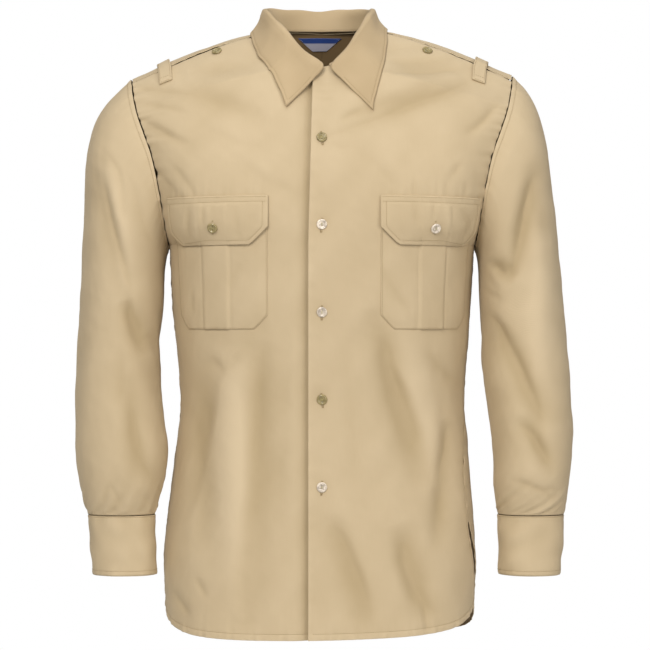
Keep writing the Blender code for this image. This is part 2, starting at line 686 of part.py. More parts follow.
def joined_halves(left, right, welded_rows):
    """Points and faces of two half grids that share their centre column on some of their rows."""
    def centre_first(grid):
        centre, edge = np.abs(grid[0, 0, 0]), np.abs(grid[0, -1, 0])
        return (grid, False) if centre < edge else (grid[:, ::-1], True)

    points, faces = [], []
    index = {}
    for key, grid in (("left", left), ("right", right)):
        ordered, turned = centre_first(grid)
        rows, columns = ordered.shape[:2]
        for r in range(rows):
            for c in range(columns):
                shared = c == 0 and r < welded_rows
                if shared and key == "right":
                    index[key, r, c] = index["left", r, 0]
                    continue
                index[key, r, c] = len(points)
                points.append(ordered[r, c] * ((0, 1, 1) if shared else (1, 1, 1)))
        for r in range(rows - 1):
            for c in range(columns - 1):
                face = [index[key, r, c], index[key, r, c + 1], index[key, r + 1, c + 1],
                        index[key, r + 1, c]]
                faces.append(face[::-1] if turned else face)
    return points, faces


def yoke_levels():
    """Levels of the yoke's rows, and how many of them run across the centre back."""
    across = np.linspace(YOKE_SEAM + SEAM_GAP * 1.5, BACK_NECK, 5)
    over = np.linspace(BACK_NECK, SHOULDER_TURN - 0.0004, 8)[1:]
    return np.concatenate([across, over]), len(across)


def yoke_half(hand, columns=10):
    shares = np.linspace(0, 1, columns)
    levels, _ = yoke_levels()
    rows = [back_row(hand, level, shares) for level in levels]
    return folded(outward(np.array(rows)), BODY_FRONT_FOLDS, BODY_BACK_FOLDS)


# Sleeves and cuffs
def ring_outline(out, inward, z_out, z_in, half_depth, mid_y, hand, around):
    """A round outline between an outer and an inner line. It starts inside and runs by the front."""
    centre = np.array([hand * (out + inward) / 2, mid_y, (z_out + z_in) / 2])
    reach = np.array([hand * (out - inward) / 2, 0, (z_out - z_in) / 2])
    turn = around * 2 * math.pi
    swell = 1 + 0.035 * np.sin(2 * turn) ** 2
    depth = -half_depth * np.sin(turn) * swell
    return centre - reach * (np.cos(turn) * swell)[:, None] + depth[:, None] * np.array([0, 1, 0])


def sleeve_grid(hand, body_tree, rows=22, columns=18):
    """A sleeve's points, from just off the armhole to just above its cuff."""
    name = "right" if hand < 0 else "left"
    stations = np.arange(len(SLEEVE))
    around = np.arange(columns) / columns
    first = np.array([armhole(share * ARMHOLE_ROWS, hand) for share in around])
    grid = []
    for step in np.linspace(0, 1, rows):
        station = (len(SLEEVE) - 1) * step ** 1.08
        read = {c: smooth(stations, SLEEVE[:, i], station) for i, c in enumerate(SLEEVE_COLUMNS)}
        ring = ring_outline(
            read[f"{name}_out"], read[f"{name}_in"], read["z_out"], read["z_in"],
            read["half_depth"], read["mid_y"], hand, around)
        start = ring_outline(*start_values(name), hand, around)
        own = np.clip(1 - station / ROUND_BY_STATION, 0, 1) ** 1.5
        grid.append(ring + (first - start) * own)
    grid = outward_tube(np.array(grid))
    strength = np.clip(np.arange(rows) / 5, 0, 1)[:, None] * np.clip(
        (rows - 1 - np.arange(rows)) / 3, 0, 1)[:, None]
    grid = folded(grid, SLEEVE_FRONT_FOLDS, SLEEVE_BACK_FOLDS, True, strength)
    start_gap = SLEEVE_START + SLEEVE_UNDERARM_START * np.cos(around * 2 * math.pi).clip(0)
    direction = grid[1] - grid[0]
    direction /= np.linalg.norm(direction, axis=1, keepdims=True)
    grid[0] = grid[0] + direction * start_gap[:, None]
    grid[1:] = kept_off(grid[1:], body_tree, SLEEVE_CLEAR)
    return grid


def start_values(name):
    """The first row of SLEEVE, in the order that ring_outline takes."""
    row = dict(zip(SLEEVE_COLUMNS, SLEEVE[0]))
    return (row[f"{name}_out"], row[f"{name}_in"], row["z_out"], row["z_in"],
            row["half_depth"], row["mid_y"])


def outward_tube(grid, closed=True):
    """A tube's points in the order that makes its normals point out of it."""
    normals = normals_of(grid, closed)
    middle = grid.mean(axis=1, keepdims=True)
    return grid if (normals * (grid - middle)).sum() > 0 else grid[:, ::-1]


def placket_grid(hand, sleeve_tree, rows=9):
    """The strip that binds the slit at the back of a sleeve, from above its cuff upwards."""
    name = "right" if hand < 0 else "left"
    strip = []
    for level in np.linspace(CUFF_TOP + 0.004, CUFF_TOP + PLACKET_RISE, rows):
        out = column(SLEEVE[::-1], SLEEVE_COLUMNS, f"{name}_out", level)
        inner = column(SLEEVE[::-1], SLEEVE_COLUMNS, f"{name}_in", level, "z_in")
        depth = column(SLEEVE[::-1], SLEEVE_COLUMNS, "half_depth", level)
        middle_y = column(SLEEVE[::-1], SLEEVE_COLUMNS, "mid_y", level)
        across = (out + inner) / 2 + np.linspace(-0.5, 0.5, 4) * PLACKET_WIDTH
        strip.append([(hand * x, middle_y + depth, level) for x in across])
    return laid_on(np.array(strip), sleeve_tree, PLACKET_LIFT)


def cuff_button_place(cuff):
    """Where the button of a cuff stands, on the lap's outer layer, with the way it faces."""
    centre = cuff[1:3].mean(axis=(0, 1))
    end, inward = max(((0, 1), (-1, -2)), key=lambda k: np.linalg.norm(cuff[1, k[0]] - centre))
    place = (cuff[1:3, end] + cuff[1:3, inward]).mean(axis=0) / 2
    normal = normals_of(cuff)[1:3, inward].mean(axis=0)
    return place + normal * (BUTTON_STAND + CLOTH), normal


def cuff_grid(hand, rows=4, columns=20):
    """A cuff's points: a band whose end laps over its start at the back of the wrist."""
    name = "right" if hand < 0 else "left"
    turn = np.linspace(CUFF_START, 1 + CUFF_END, columns)
    grid = []
    for z in np.linspace(CUFF_TOP - SEAM_GAP, CUFF_BOTTOM, rows):
        read = {c: smooth(-CUFFS[:, 0], CUFFS[:, i], -z) for i, c in enumerate(CUFF_COLUMNS)}
        ring = ring_outline(
            read[f"{name}_out"], read[f"{name}_in"], z, z, read["half_depth"], read["mid_y"],
            hand, turn)
        centre = ring.mean(axis=0)
        outer = np.clip((turn - CUFF_LAP_START) / CUFF_LAP_STEP, 0, 1)[:, None]
        away = (ring - centre) / np.linalg.norm(ring - centre, axis=1, keepdims=True)
        grid.append(ring + away * outer * CUFF_LAP_LIFT)
    return outward_tube(np.array(grid), False)


# Collar
def collar_grid(body_tree, columns=33):
    """The collar, from its seam up the stand, over its fold and down to the fall's edge."""
    share = np.linspace(0, 1, columns)
    side = np.where(share < 0.5, -1, 1)
    along_neck = np.abs(share - 0.5) * 2
    seam = np.array([
        neckline(NECKLINE_BACK * (1 - a), s)[0] for a, s in zip(along_neck, side)])
    end = np.clip((along_neck - COLLAR_END) / (1 - COLLAR_END), 0, 1)
    seam[:, 0] += (side * COLLAR_END_SPREAD + COLLAR_END_SHIFT) * end
    inside = NECK_MIDDLE - seam
    inside[:, 2] = 0
    inside /= np.linalg.norm(inside, axis=1, keepdims=True)
    seam = seam + inside * COLLAR_SEAM_IN * (1 - end)[:, None]
    over_front = (side > 0) * (along_neck > COLLAR_OVER_FROM)
    seam[:, 2] += COLLAR_SEAM_UP + COLLAR_END_RISE * end + COLLAR_OVER_RISE * over_front
    fold = smooth(np.linspace(0, 1, len(FOLD_LINE)), FOLD_LINE, share)
    edge = smooth(np.linspace(0, 1, len(FALL_EDGE)), FALL_EDGE, share)
    edge = laid_on(edge, body_tree, FALL_EDGE_LIFT)
    up = np.array([0, 0, 1.0])
    stand_top, roll_in, roll_out, shoulder = [
        fold + inside * ROLL * inward - up * ROLL * down for inward, down in ROLL_SHAPE]
    rows = [seam, (seam + stand_top) / 2, stand_top, roll_in, roll_out]
    for t in (0.0, 0.25, 0.5, 0.75, 1.0):
        swell = -math.sin(math.pi * t) * FALL_HOLLOW
        rows.append(shoulder + (edge - shoulder) * t - inside * swell + up * swell * 0.5)
    grid = np.array(rows)
    grid[5:] = kept_off(grid[5:], body_tree, FALL_LIFT)
    return grid


# Buttons
def button(name, place, normal, finish, radius=BUTTON_RADIUS):
    """A turned button with a rolled rim, standing on its cloth."""
    profile = (
        (0.0, BUTTON_THICK * 0.45), (radius * 0.52, BUTTON_THICK * 0.45),
        (radius * 0.76, BUTTON_THICK), (radius, BUTTON_THICK * 0.55), (radius * 0.80, 0.0),
        (0.0, 0.0))
    sides = BUTTON_SIDES
    points = [(0, 0, profile[0][1]), (0, 0, 0)]
    for r, z in profile[1:-1]:
        points += [(r * math.cos(2 * math.pi * k / sides), r * math.sin(2 * math.pi * k / sides), z)
                   for k in range(sides)]
    faces = []
    rings = len(profile) - 2
    for k in range(sides):
        following = (k + 1) % sides
        faces.append((0, 2 + k, 2 + following))
        for ring in range(rings - 1):
            a, b = 2 + ring * sides, 2 + (ring + 1) * sides
            faces.append((a + k, b + k, b + following, a + following))
        last = 2 + (rings - 1) * sides
        faces.append((1, last + following, last + k))
    made = mesh_object(name, points, faces, finish)
    made.rotation_euler = Vector(normal).to_track_quat("Z", "Y").to_euler()
    made.location = Vector(place)
    return made


def point_and_normal(tree, near):
    place, normal, _, _ = tree.find_nearest(Vector(near))
    return np.array(place), np.array(normal)


# Shoulder loops
def loop_grid(hand, body_tree, columns=13, rows=5):
    """A bar of cloth over the shoulder, sewn down at its ends and free in between."""
    share = np.linspace(0, 1, columns)
    path = smooth(np.linspace(0, 1, len(LOOP_PATH)), LOOP_PATH, share)
    half = np.array([LOOP_WIDTH / 2, 0, -LOOP_WIDTH * LOOP_SLOPE])
    strip = np.array([path + half * side for side in np.linspace(-1, 1, rows)]) * (hand, 1, 1)
    lift = LOOP_END_LIFT + LOOP_STAND * np.sin(math.pi * share)[None, :, None] ** 0.5
    flat = laid_on(strip, body_tree, 0.0)
    over = laid_on(strip, body_tree, 1.0) - flat
    return flat + over * lift


def label_grid(yoke_tree, columns=5, rows=4):
    """The label inside the back of the neck, hanging from the collar's seam and narrowing down."""
    strip = []
    for share in np.linspace(0, 1, rows):
        half = (LABEL_FOOT_WIDTH + (LABEL_TOP_WIDTH - LABEL_FOOT_WIDTH) * share) / 2
        level = LABEL_TOP - LABEL_DEPTH * (1 - share)
        strip.append([
            (LABEL_CENTRE + half * side, LABEL_DEPTH_IN, level) for side in np.linspace(-1, 1, columns)])
    return laid_on(np.array(strip), yoke_tree, -LABEL_LIFT)


# Pockets
def pocket_columns(hand):
    """Distances along the cloth, from the centre line, of the columns of a pocket and its flap."""
    inner, outer = POCKET_INNER[hand], POCKET_INNER[hand] + POCKET_WIDTH
    middle = (inner + outer) / 2
    fold_in, fold_out = middle - PLEAT_WIDTH / 2, middle + PLEAT_WIDTH / 2
    return np.concatenate([
        np.linspace(inner, fold_in, 4), [fold_in + PLEAT_ROLL, middle, fold_out - PLEAT_ROLL],
        np.linspace(fold_out, outer, 4)])


def pocket_patch(hand, top, bottom, chamfer, between, inset=0.0):
    """A patch in the form of the front, with its lower corners cut off, from its foot upwards."""
    columns = pocket_columns(hand)
    levels = [bottom, bottom + chamfer / 2]
    levels += list(np.linspace(bottom + chamfer, top, between))
    rows = []
    for level in levels:
        cut = inset + max(0.0, chamfer - (level - bottom))
        ends = (columns[0], columns[3], columns[-4], columns[-1])
        moved = (columns[0] + cut, columns[3], columns[-4], columns[-1] - cut)
        rows.append(front_points(hand, np.interp(columns, ends, moved), level))
    grid = outward(np.array(rows))
    return folded(grid, BODY_FRONT_FOLDS, BODY_BACK_FOLDS)


def pocket_grid(hand):
    """A patch pocket with a box pleat down its middle."""
    grid = pocket_patch(hand, POCKET_TOP, POCKET_BOTTOM, POCKET_CHAMFER, 7, POCKET_INSET)
    lift = np.full(grid.shape[:2], POCKET_LIFT)
    lift[:, PLEAT_COLUMNS] += PLEAT_RISE
    return raised(grid, lift)


def flap_grid(hand):
    """A flap with cut corners, standing off its pocket a little more towards its lower edge."""
    grid = pocket_patch(hand, FLAP_TOP, FLAP_TOP - FLAP_DEPTH, FLAP_CHAMFER, 4)
    down = np.linspace(1, 0, len(grid))[:, None] * np.ones(grid.shape[1])
    lift = FLAP_LIFT + FLAP_STAND * down
    lift[-1] = LAYER_STEP
    return raised(grid, lift)


def build():
    khaki = material("khaki_poplin", KHAKI, 0.75)
    blue = material("label_satin", LABEL_BLUE, 0.5)
    bone = material("shirt_button", BUTTON_BONE, 0.3)

    fronts = {hand: front_grid(hand) for hand in (-1, 1)}
    backs = {hand: back_grid(hand) for hand in (-1, 1)}
    yokes = {hand: yoke_half(hand) for hand in (-1, 1)}
    cloth("front_right", fronts[-1], khaki)
    cloth("front_left", fronts[1], khaki)
    points, faces = joined_halves(backs[1], backs[-1], len(backs[1]))
    thicken(mesh_object("back", points, faces, khaki), CLOTH)
    _, welded = yoke_levels()
    points, faces = joined_halves(yokes[1], yokes[-1], welded)
    thicken(mesh_object("yoke", points, faces, khaki), CLOTH)

    body = [(grid, False) for part in (fronts, backs, yokes) for grid in part.values()]
    body_tree = surface_tree(body)

    for hand, name in ((-1, "right"), (1, "left")):
        sleeve = sleeve_grid(hand, body_tree)
        cloth(f"sleeve_{name}", sleeve, khaki, closed=True)
        sleeve_tree = surface_tree([(sleeve, True)])
        cloth(f"sleeve_placket_{name}", placket_grid(hand, sleeve_tree), khaki)
        cuff = cuff_grid(hand)
        cloth(f"cuff_{name}", cuff, khaki)
        place, normal = cuff_button_place(cuff)
        button(f"cuff_button_{name}", place, normal, bone)
        cloth(f"pocket_{name}", pocket_grid(hand), khaki)
        flap = flap_grid(hand)
        cloth(f"flap_{name}", flap, khaki)
        cloth(f"shoulder_loop_{name}", loop_grid(hand, body_tree), khaki)
        place, normal = point_and_normal(
            body_tree, (hand * SHOULDER_BUTTON[0], *SHOULDER_BUTTON[1:]))
        button(f"shoulder_button_{name}", place + normal * BUTTON_STAND, normal, bone)
        flap_tree = surface_tree([(flap, False)])
        middle = (pocket_columns(hand)[0] + pocket_columns(hand)[-1]) / 2
        near = front_points(hand, [middle], POCKET_BUTTON_LEVEL)[0]
        place, normal = point_and_normal(flap_tree, near + np.array([0, -0.004, 0]))
        button(f"pocket_button_{name}", place + normal * BUTTON_STAND, normal, bone)

    cloth("collar", collar_grid(body_tree), khaki)
    yoke_tree = surface_tree([(yokes[hand], False) for hand in (-1, 1)])
    cloth("neck_label", label_grid(yoke_tree), blue, LABEL_THICK)
    left_front = surface_tree([(fronts[1], False)])
    for number in range(FRONT_BUTTONS):
        level = FRONT_BUTTON_TOP - FRONT_BUTTON_PITCH * number
        place, normal = point_and_normal(left_front, front_points(1, [0.0], level)[0])
        button(f"front_button_{number + 1}", place + normal * BUTTON_STAND, normal, bone)


for old in list(bpy.data.objects):
    bpy.data.objects.remove(old)
build()
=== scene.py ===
# %% [markdown]
# # A long-sleeved service shirt
# The frame holds every cut piece of the shirt as a thin plain wall. Here each piece is laid again
# over the same form on a grid of a few millimetres, and gets what the plain wall leaves out: its
# creases, hems, stitches, buttons and the cloth itself.

# %% Load the frame
import json
import math

import bpy
import numpy as np
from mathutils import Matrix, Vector
from mathutils.bvhtree import BVHTree

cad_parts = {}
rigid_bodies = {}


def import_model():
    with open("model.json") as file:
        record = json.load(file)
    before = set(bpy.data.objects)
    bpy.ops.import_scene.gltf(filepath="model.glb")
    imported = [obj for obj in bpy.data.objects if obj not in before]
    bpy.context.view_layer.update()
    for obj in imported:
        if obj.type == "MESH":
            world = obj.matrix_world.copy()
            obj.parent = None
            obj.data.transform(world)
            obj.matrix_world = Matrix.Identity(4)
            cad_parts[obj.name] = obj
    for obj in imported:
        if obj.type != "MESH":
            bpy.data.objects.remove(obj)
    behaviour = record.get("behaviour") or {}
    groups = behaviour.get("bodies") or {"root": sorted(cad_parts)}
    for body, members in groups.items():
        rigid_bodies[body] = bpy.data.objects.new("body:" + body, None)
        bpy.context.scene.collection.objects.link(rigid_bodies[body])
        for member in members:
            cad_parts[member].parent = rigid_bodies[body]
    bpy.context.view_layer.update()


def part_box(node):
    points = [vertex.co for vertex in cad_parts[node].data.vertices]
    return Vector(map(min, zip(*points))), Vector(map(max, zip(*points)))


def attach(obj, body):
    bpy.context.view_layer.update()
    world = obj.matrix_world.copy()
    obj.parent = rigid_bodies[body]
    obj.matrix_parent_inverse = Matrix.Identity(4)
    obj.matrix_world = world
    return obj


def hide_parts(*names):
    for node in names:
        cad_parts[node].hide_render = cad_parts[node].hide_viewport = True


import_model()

# %% [markdown]
# ## The shirt's own sizes
# A shirt is cut from a handful of sizes: where the hem, the armhole, the neckline and the pockets
# lie. They are the sizes of the frame, in metres. +X is the wearer's left, -Y the front, +Z up,
# and the origin is where the shoulders carry the shirt. Fine pieces made from the same sizes fall
# exactly on the plain ones, with nothing to fit by hand.

# %% Sizes of the body, the pockets and the cuffs
SEAM_GAP = 0.0003         # space between two pieces that are sewn together
OVERLAP = 0.0165          # how far each front runs past the centre line below the chest
OVERLAP_AT_NECK = 0.0110
UNDERARM = -0.262         # height of the bottom of the armhole
FRONT_NECK = -0.047       # height of the neckline at the centre front
BACK_NECK = 0.010         # height of the neckline at the centre back
SHOULDER_TURN = 0.070     # level given to the yoke's front seam, past the top of the shoulder
YOKE_SEAM = -0.100        # height of the yoke's back seam
LAP_DROP = 0.0021         # how far the right front lies under the left one where they lap
LAP_REACH = 0.017         # half width of the strip that lies so low
FRONT_HEM = -0.7405
HEM_TILT = 0.018          # the front hem hangs lower on the wearer's right
BACK_HEM = -0.754
VENT_TOP = -0.600         # the side seams are open below this
VENT_SPREAD = 0.007       # how far each edge of an open vent stands from the seam's line
VENT_OPENING = 0.060      # height over which a vent opens to its full spread
HEM_CORNER_RISE = {-1: 0.041, 1: 0.034}  # the hem's rounded corners, right and left
HEM_BOW = 0.006           # the hem's gentle rise from its middle to its sides
HEM_POWER = 6             # how sharply a rise gathers near the side seam or the hem

POCKET_INNER = {-1: 0.0645, 1: 0.0705}   # along the cloth from the centre line, right and left
POCKET_WIDTH = 0.136
POCKET_BOTTOM = -0.366
POCKET_CHAMFER = 0.017
PLEAT_WIDTH = 0.036
FLAP_TOP = -0.205
FLAP_DEPTH = 0.059
FLAP_CHAMFER = 0.023
POCKET_TOP = FLAP_TOP - 0.010

BUTTON_RADIUS = 0.0064
BUTTON_THICK = 0.0026
FRONT_BUTTON_TOP = -0.1345
FRONT_BUTTON_PITCH = 0.1055
FRONT_BUTTONS = 5

CUFF_TOP = -0.5945
CUFF_BOTTOM = -0.6680
CUFF_START = 0.69         # where a cuff starts round the wrist; 0.5 faces out and 0.75 back
CUFF_END = 0.77           # where it ends, lapping over its start
PLACKET_WIDTH = 0.026     # the strip that binds the slit in the sleeve above the cuff
PLACKET_RISE = 0.115
CUFF_LAP_LIFT = 0.0024    # how far the lapping end of a cuff stands over its start
CUFF_LAP_START = 1.61     # where round the wrist it begins to rise
CUFF_LAP_STEP = 0.07

LABEL_TOP_WIDTH = 0.056
LABEL_FOOT_WIDTH = 0.017
LABEL_DEPTH = 0.021
LABEL_CENTRE = -0.003
LABEL_TOP = BACK_NECK - 0.003

# %% [markdown]
# ## The form that fills the shirt out
# Nobody is inside, but the cloth keeps the round form that it has when it is worn. A few tables
# give it: how far the sides, the front and the back stand out at each height, the two armholes,
# the neckline, and how wide and deep the sleeves and cuffs are. A short table with smooth curves
# between its rows is easier to change than a sculpted mesh.

# %% Torso
# The torso: height; how far the right and the left side stand out; how far back the widest point
# lies; and where the side seam is, as a share of the way from the centre front to that point.
SIDE_COLUMNS = ("z", "right", "left", "side_y", "seam_right", "seam_left")
SIDES = np.array([
    (-0.770, 0.1940, 0.1890, 0.000, 1.00, 0.96),
    (-0.700, 0.1960, 0.1910, 0.000, 1.00, 0.93),
    (-0.650, 0.1965, 0.1920, 0.002, 1.00, 0.86),
    (-0.600, 0.1920, 0.1890, 0.004, 1.00, 0.80),
    (-0.550, 0.1865, 0.1855, 0.008, 1.00, 0.79),
    (-0.500, 0.1805, 0.1810, 0.012, 0.99, 0.85),
    (-0.460, 0.1770, 0.1780, 0.016, 0.95, 0.95),
    (-0.420, 0.1790, 0.1800, 0.020, 0.95, 1.00),
    (-0.370, 0.1840, 0.1840, 0.020, 0.99, 1.00),
    (-0.310, 0.1890, 0.1870, 0.014, 1.00, 1.00),
    (-0.262, 0.1900, 0.1900, 0.000, 1.00, 1.00),
])

# How far the centre front and the centre back stand out at each height.
CENTRE_COLUMNS = ("z", "front", "back")
CENTRE = np.array([
    (-0.770, 0.1230, 0.1230),
    (-0.700, 0.1220, 0.1210),
    (-0.600, 0.1190, 0.1130),
    (-0.550, 0.1175, 0.1060),
    (-0.500, 0.1165, 0.1000),
    (-0.460, 0.1165, 0.0975),
    (-0.420, 0.1185, 0.0975),
    (-0.370, 0.1215, 0.1015),
    (-0.310, 0.1255, 0.1100),
    (-0.262, 0.1275, 0.1190),
    (-0.210, 0.1255, 0.1235),
    (-0.150, 0.1165, 0.1210),
    (-0.100, 0.1020, 0.1110),
    (-0.047, 0.0820, 0.0930),
    (0.010, 0.0600, 0.0640),
])

# %% Armholes and neckline
# The left armhole, from the underarm up the front, over the shoulder and down the back. "turn" is
# the angle from +X, seen from above, at which the cloth of the body meets it, and "drop" its fall.
ARMHOLE_COLUMNS = ("x", "y", "z", "turn", "drop")
ARMHOLE = np.array([
    (0.1900, 0.000, -0.262, 90, 0.00),
    (0.1925, -0.045, -0.243, 80, 0.00),
    (0.1965, -0.068, -0.212, 65, 0.00),
    (0.2010, -0.077, -0.182, 55, 0.00),
    (0.2080, -0.076, -0.152, 46, 0.00),
    (0.2175, -0.069, -0.126, 38, 0.08),
    (0.2265, -0.057, -0.101, 28, 0.18),
    (0.2320, -0.042, -0.079, 18, 0.30),
    (0.2350, -0.024, -0.062, 10, 0.42),
    (0.2365, -0.002, -0.0545, 0, 0.47),
    (0.2350, 0.022, -0.059, -8, 0.42),
    (0.2310, 0.045, -0.074, -20, 0.32),
    (0.2260, 0.064, -0.098, -33, 0.18),
    (0.2190, 0.077, -0.124, -43, 0.06),
    (0.2110, 0.085, -0.155, -52, 0.00),
    (0.2030, 0.084, -0.188, -62, 0.00),
    (0.1955, 0.068, -0.222, -75, 0.00),
    (0.1915, 0.040, -0.248, -85, 0.00),
    (0.1900, 0.000, -0.262, -90, 0.00),
])
ARMHOLE_ROWS = len(ARMHOLE) - 1
LEFT_SHOULDER_LIFT = 0.0045
LEFT_NECK_LIFT = 0.0030

# The left half of the neckline, from the centre front round to the centre back, with the way in
# which the cloth of the body leaves it.
NECKLINE_COLUMNS = ("x", "y", "z", "out_x", "out_y", "out_z")
NECKLINE = np.array([
    (0.000, -0.0820, -0.047, 1.00, 0.00, 0.00),
    (0.024, -0.0775, -0.041, 0.98, 0.06, -0.06),
    (0.045, -0.0620, -0.028, 0.96, 0.08, -0.14),
    (0.060, -0.0380, -0.011, 0.96, 0.06, -0.18),
    (0.067, -0.0140, 0.001, 0.98, 0.02, -0.14),
    (0.069, 0.0080, 0.005, 0.99, 0.00, -0.12),
    (0.062, 0.0340, 0.009, 0.98, 0.08, -0.12),
    (0.038, 0.0560, 0.010, 0.99, 0.04, -0.06),
    (0.000, 0.0640, 0.010, 1.00, 0.00, 0.00),
])
NECKLINE_FRONT_SEAM = 4
NECKLINE_BACK = len(NECKLINE) - 1

# Where the cloth at each level of the front and the back ends on the armhole, as a row of ARMHOLE,
# and how strongly the level's curve holds the direction of its inner and its outer end.
LEVEL_COLUMNS = ("level", "armhole_row", "hold_in", "hold_out")
FRONT_LEVELS = np.array([
    (UNDERARM, 0.0, 0.56, 0.35),
    (-0.210, 2.0, 0.55, 0.33),
    (-0.150, 3.9, 0.52, 0.30),
    (-0.100, 5.2, 0.48, 0.28),
    (FRONT_NECK, 6.3, 0.42, 0.28),
    (0.000, 8.0, 0.33, 0.30),
])
BACK_LEVELS = np.array([
    (UNDERARM, 18.0, 0.56, 0.35),
    (-0.210, 16.2, 0.55, 0.33),
    (-0.150, 13.9, 0.52, 0.30),
    (YOKE_SEAM, 12.0, 0.48, 0.28),
    (-0.040, 11.0, 0.44, 0.28),
    (BACK_NECK, 10.2, 0.38, 0.28),
    (SHOULDER_TURN, 8.0, 0.33, 0.30),
])

# %% Sleeves and cuffs
# A sleeve between its armhole and its cuff: heights of its outer and its inner line; how far out
# those lines lie on the right and the left sleeve; half its depth; the depth of its middle.
SLEEVE_COLUMNS = (
    "z_out", "z_in", "right_out", "right_in", "left_out", "left_in", "half_depth", "mid_y")
SLEEVE = np.array([
    (-0.0545, -0.262, 0.2365, 0.1900, 0.2365, 0.1900, 0.0800, 0.004),
    (-0.0700, -0.272, 0.2540, 0.1935, 0.2530, 0.1930, 0.0840, 0.004),
    (-0.0900, -0.284, 0.2720, 0.1960, 0.2660, 0.1955, 0.0860, 0.004),
    (-0.1150, -0.297, 0.2850, 0.1975, 0.2745, 0.1965, 0.0865, 0.003),
    (-0.1500, -0.312, 0.2930, 0.1980, 0.2820, 0.1965, 0.0860, 0.002),
    (-0.1950, -0.330, 0.2955, 0.1980, 0.2870, 0.1970, 0.0840, 0.001),
    (-0.2450, -0.352, 0.2970, 0.2000, 0.2925, 0.1985, 0.0815, -0.001),
    (-0.3000, -0.380, 0.2995, 0.2035, 0.2975, 0.2000, 0.0780, -0.004),
    (-0.3550, -0.412, 0.3020, 0.2020, 0.3020, 0.1995, 0.0745, -0.008),
    (-0.4100, -0.446, 0.3045, 0.2000, 0.3065, 0.2040, 0.0715, -0.013),
    (-0.4600, -0.482, 0.3060, 0.1955, 0.3095, 0.2090, 0.0690, -0.019),
    (-0.5050, -0.515, 0.3050, 0.1915, 0.3100, 0.2120, 0.0660, -0.025),
    (-0.5450, -0.548, 0.3010, 0.1945, 0.3065, 0.2125, 0.0600, -0.030),
    (-0.5750, -0.576, 0.2945, 0.2020, 0.3020, 0.2150, 0.0490, -0.034),
    (-0.5935, -0.5935, 0.2890, 0.2065, 0.2985, 0.2175, 0.0385, -0.036),
])
ROUND_BY_STATION = 6      # by this row of SLEEVE the armhole's own outline has become a round one
SLEEVE_START = 0.0015     # from the armhole's line to the sleeve's edge, over the shoulder
SLEEVE_UNDERARM_START = 0.0022    # and how much more under the arm

# The cuffs: height, outer and inner line of each, half depth and middle depth.
CUFF_COLUMNS = ("z", "right_out", "right_in", "left_out", "left_in", "half_depth", "mid_y")
CUFFS = np.array([
    (CUFF_TOP, 0.2890, 0.2065, 0.2985, 0.2175, 0.0385, -0.036),
    (-0.6200, 0.2870, 0.2060, 0.2975, 0.2180, 0.0380, -0.036),
    (-0.6450, 0.2850, 0.2055, 0.2960, 0.2185, 0.0375, -0.036),
    (CUFF_BOTTOM, 0.2830, 0.2045, 0.2940, 0.2190, 0.0375, -0.036),
])

# %% The largest folds
# The largest folds, seen from the front or the back: both ends, half width and height (a trough is
# negative). Those of the body and those of the sleeves are apart.
FOLD_COLUMNS = ("x1", "z1", "x2", "z2", "width", "height")
BODY_FRONT_FOLDS = np.array([
    (-0.180, -0.066, -0.066, -0.112, 0.013, -0.0035),
    (0.184, -0.062, 0.022, -0.112, 0.012, -0.0045),
    (0.170, -0.040, 0.078, -0.046, 0.009, -0.0030),
    (-0.165, -0.050, -0.080, -0.044, 0.009, -0.0025),
    (-0.112, -0.385, -0.092, -0.720, 0.024, 0.0060),
    (-0.072, -0.380, -0.088, -0.740, 0.020, -0.0060),
    (-0.138, -0.400, -0.150, -0.640, 0.018, -0.0060),
    (0.062, -0.340, 0.124, -0.560, 0.018, -0.0065),
    (0.098, -0.360, 0.160, -0.600, 0.020, 0.0040),
    (0.010, -0.590, 0.055, -0.740, 0.016, -0.0040),
    (0.092, -0.600, 0.128, -0.720, 0.016, -0.0055),
    (0.155, -0.475, 0.140, -0.640, 0.012, -0.0060),
])
BODY_BACK_FOLDS = np.array([
    (-0.150, -0.230, -0.060, -0.430, 0.022, -0.0050),
    (0.155, -0.220, 0.070, -0.440, 0.022, -0.0055),
    (-0.030, -0.400, -0.060, -0.745, 0.024, 0.0060),
    (0.045, -0.420, 0.080, -0.745, 0.022, 0.0055),
    (-0.120, -0.430, -0.135, -0.720, 0.020, -0.0060),
    (0.005, -0.450, 0.012, -0.745, 0.020, -0.0055),
    (0.130, -0.400, 0.128, -0.700, 0.018, -0.0050),
])
SLEEVE_FRONT_FOLDS = np.array([
    (-0.280, -0.150, -0.240, -0.330, 0.012, -0.0045),
    (-0.262, -0.160, -0.232, -0.300, 0.012, 0.0045),
    (-0.240, -0.330, -0.214, -0.400, 0.011, -0.0060),
    (-0.236, -0.420, -0.222, -0.560, 0.013, -0.0040),
    (0.262, -0.160, 0.234, -0.305, 0.013, -0.0065),
    (0.202, -0.280, 0.236, -0.306, 0.010, -0.0050),
    (0.206, -0.350, 0.276, -0.490, 0.015, -0.0060),
    (0.242, -0.470, 0.284, -0.545, 0.011, -0.0050),
    (0.270, -0.240, 0.262, -0.460, 0.016, 0.0045),
])
SLEEVE_BACK_FOLDS = np.array([
    (-0.270, -0.150, -0.232, -0.330, 0.014, -0.0050),
    (-0.225, -0.360, -0.275, -0.470, 0.013, -0.0055),
    (0.265, -0.160, 0.230, -0.320, 0.014, -0.0050),
    (0.225, -0.380, 0.280, -0.480, 0.013, -0.0055),
])

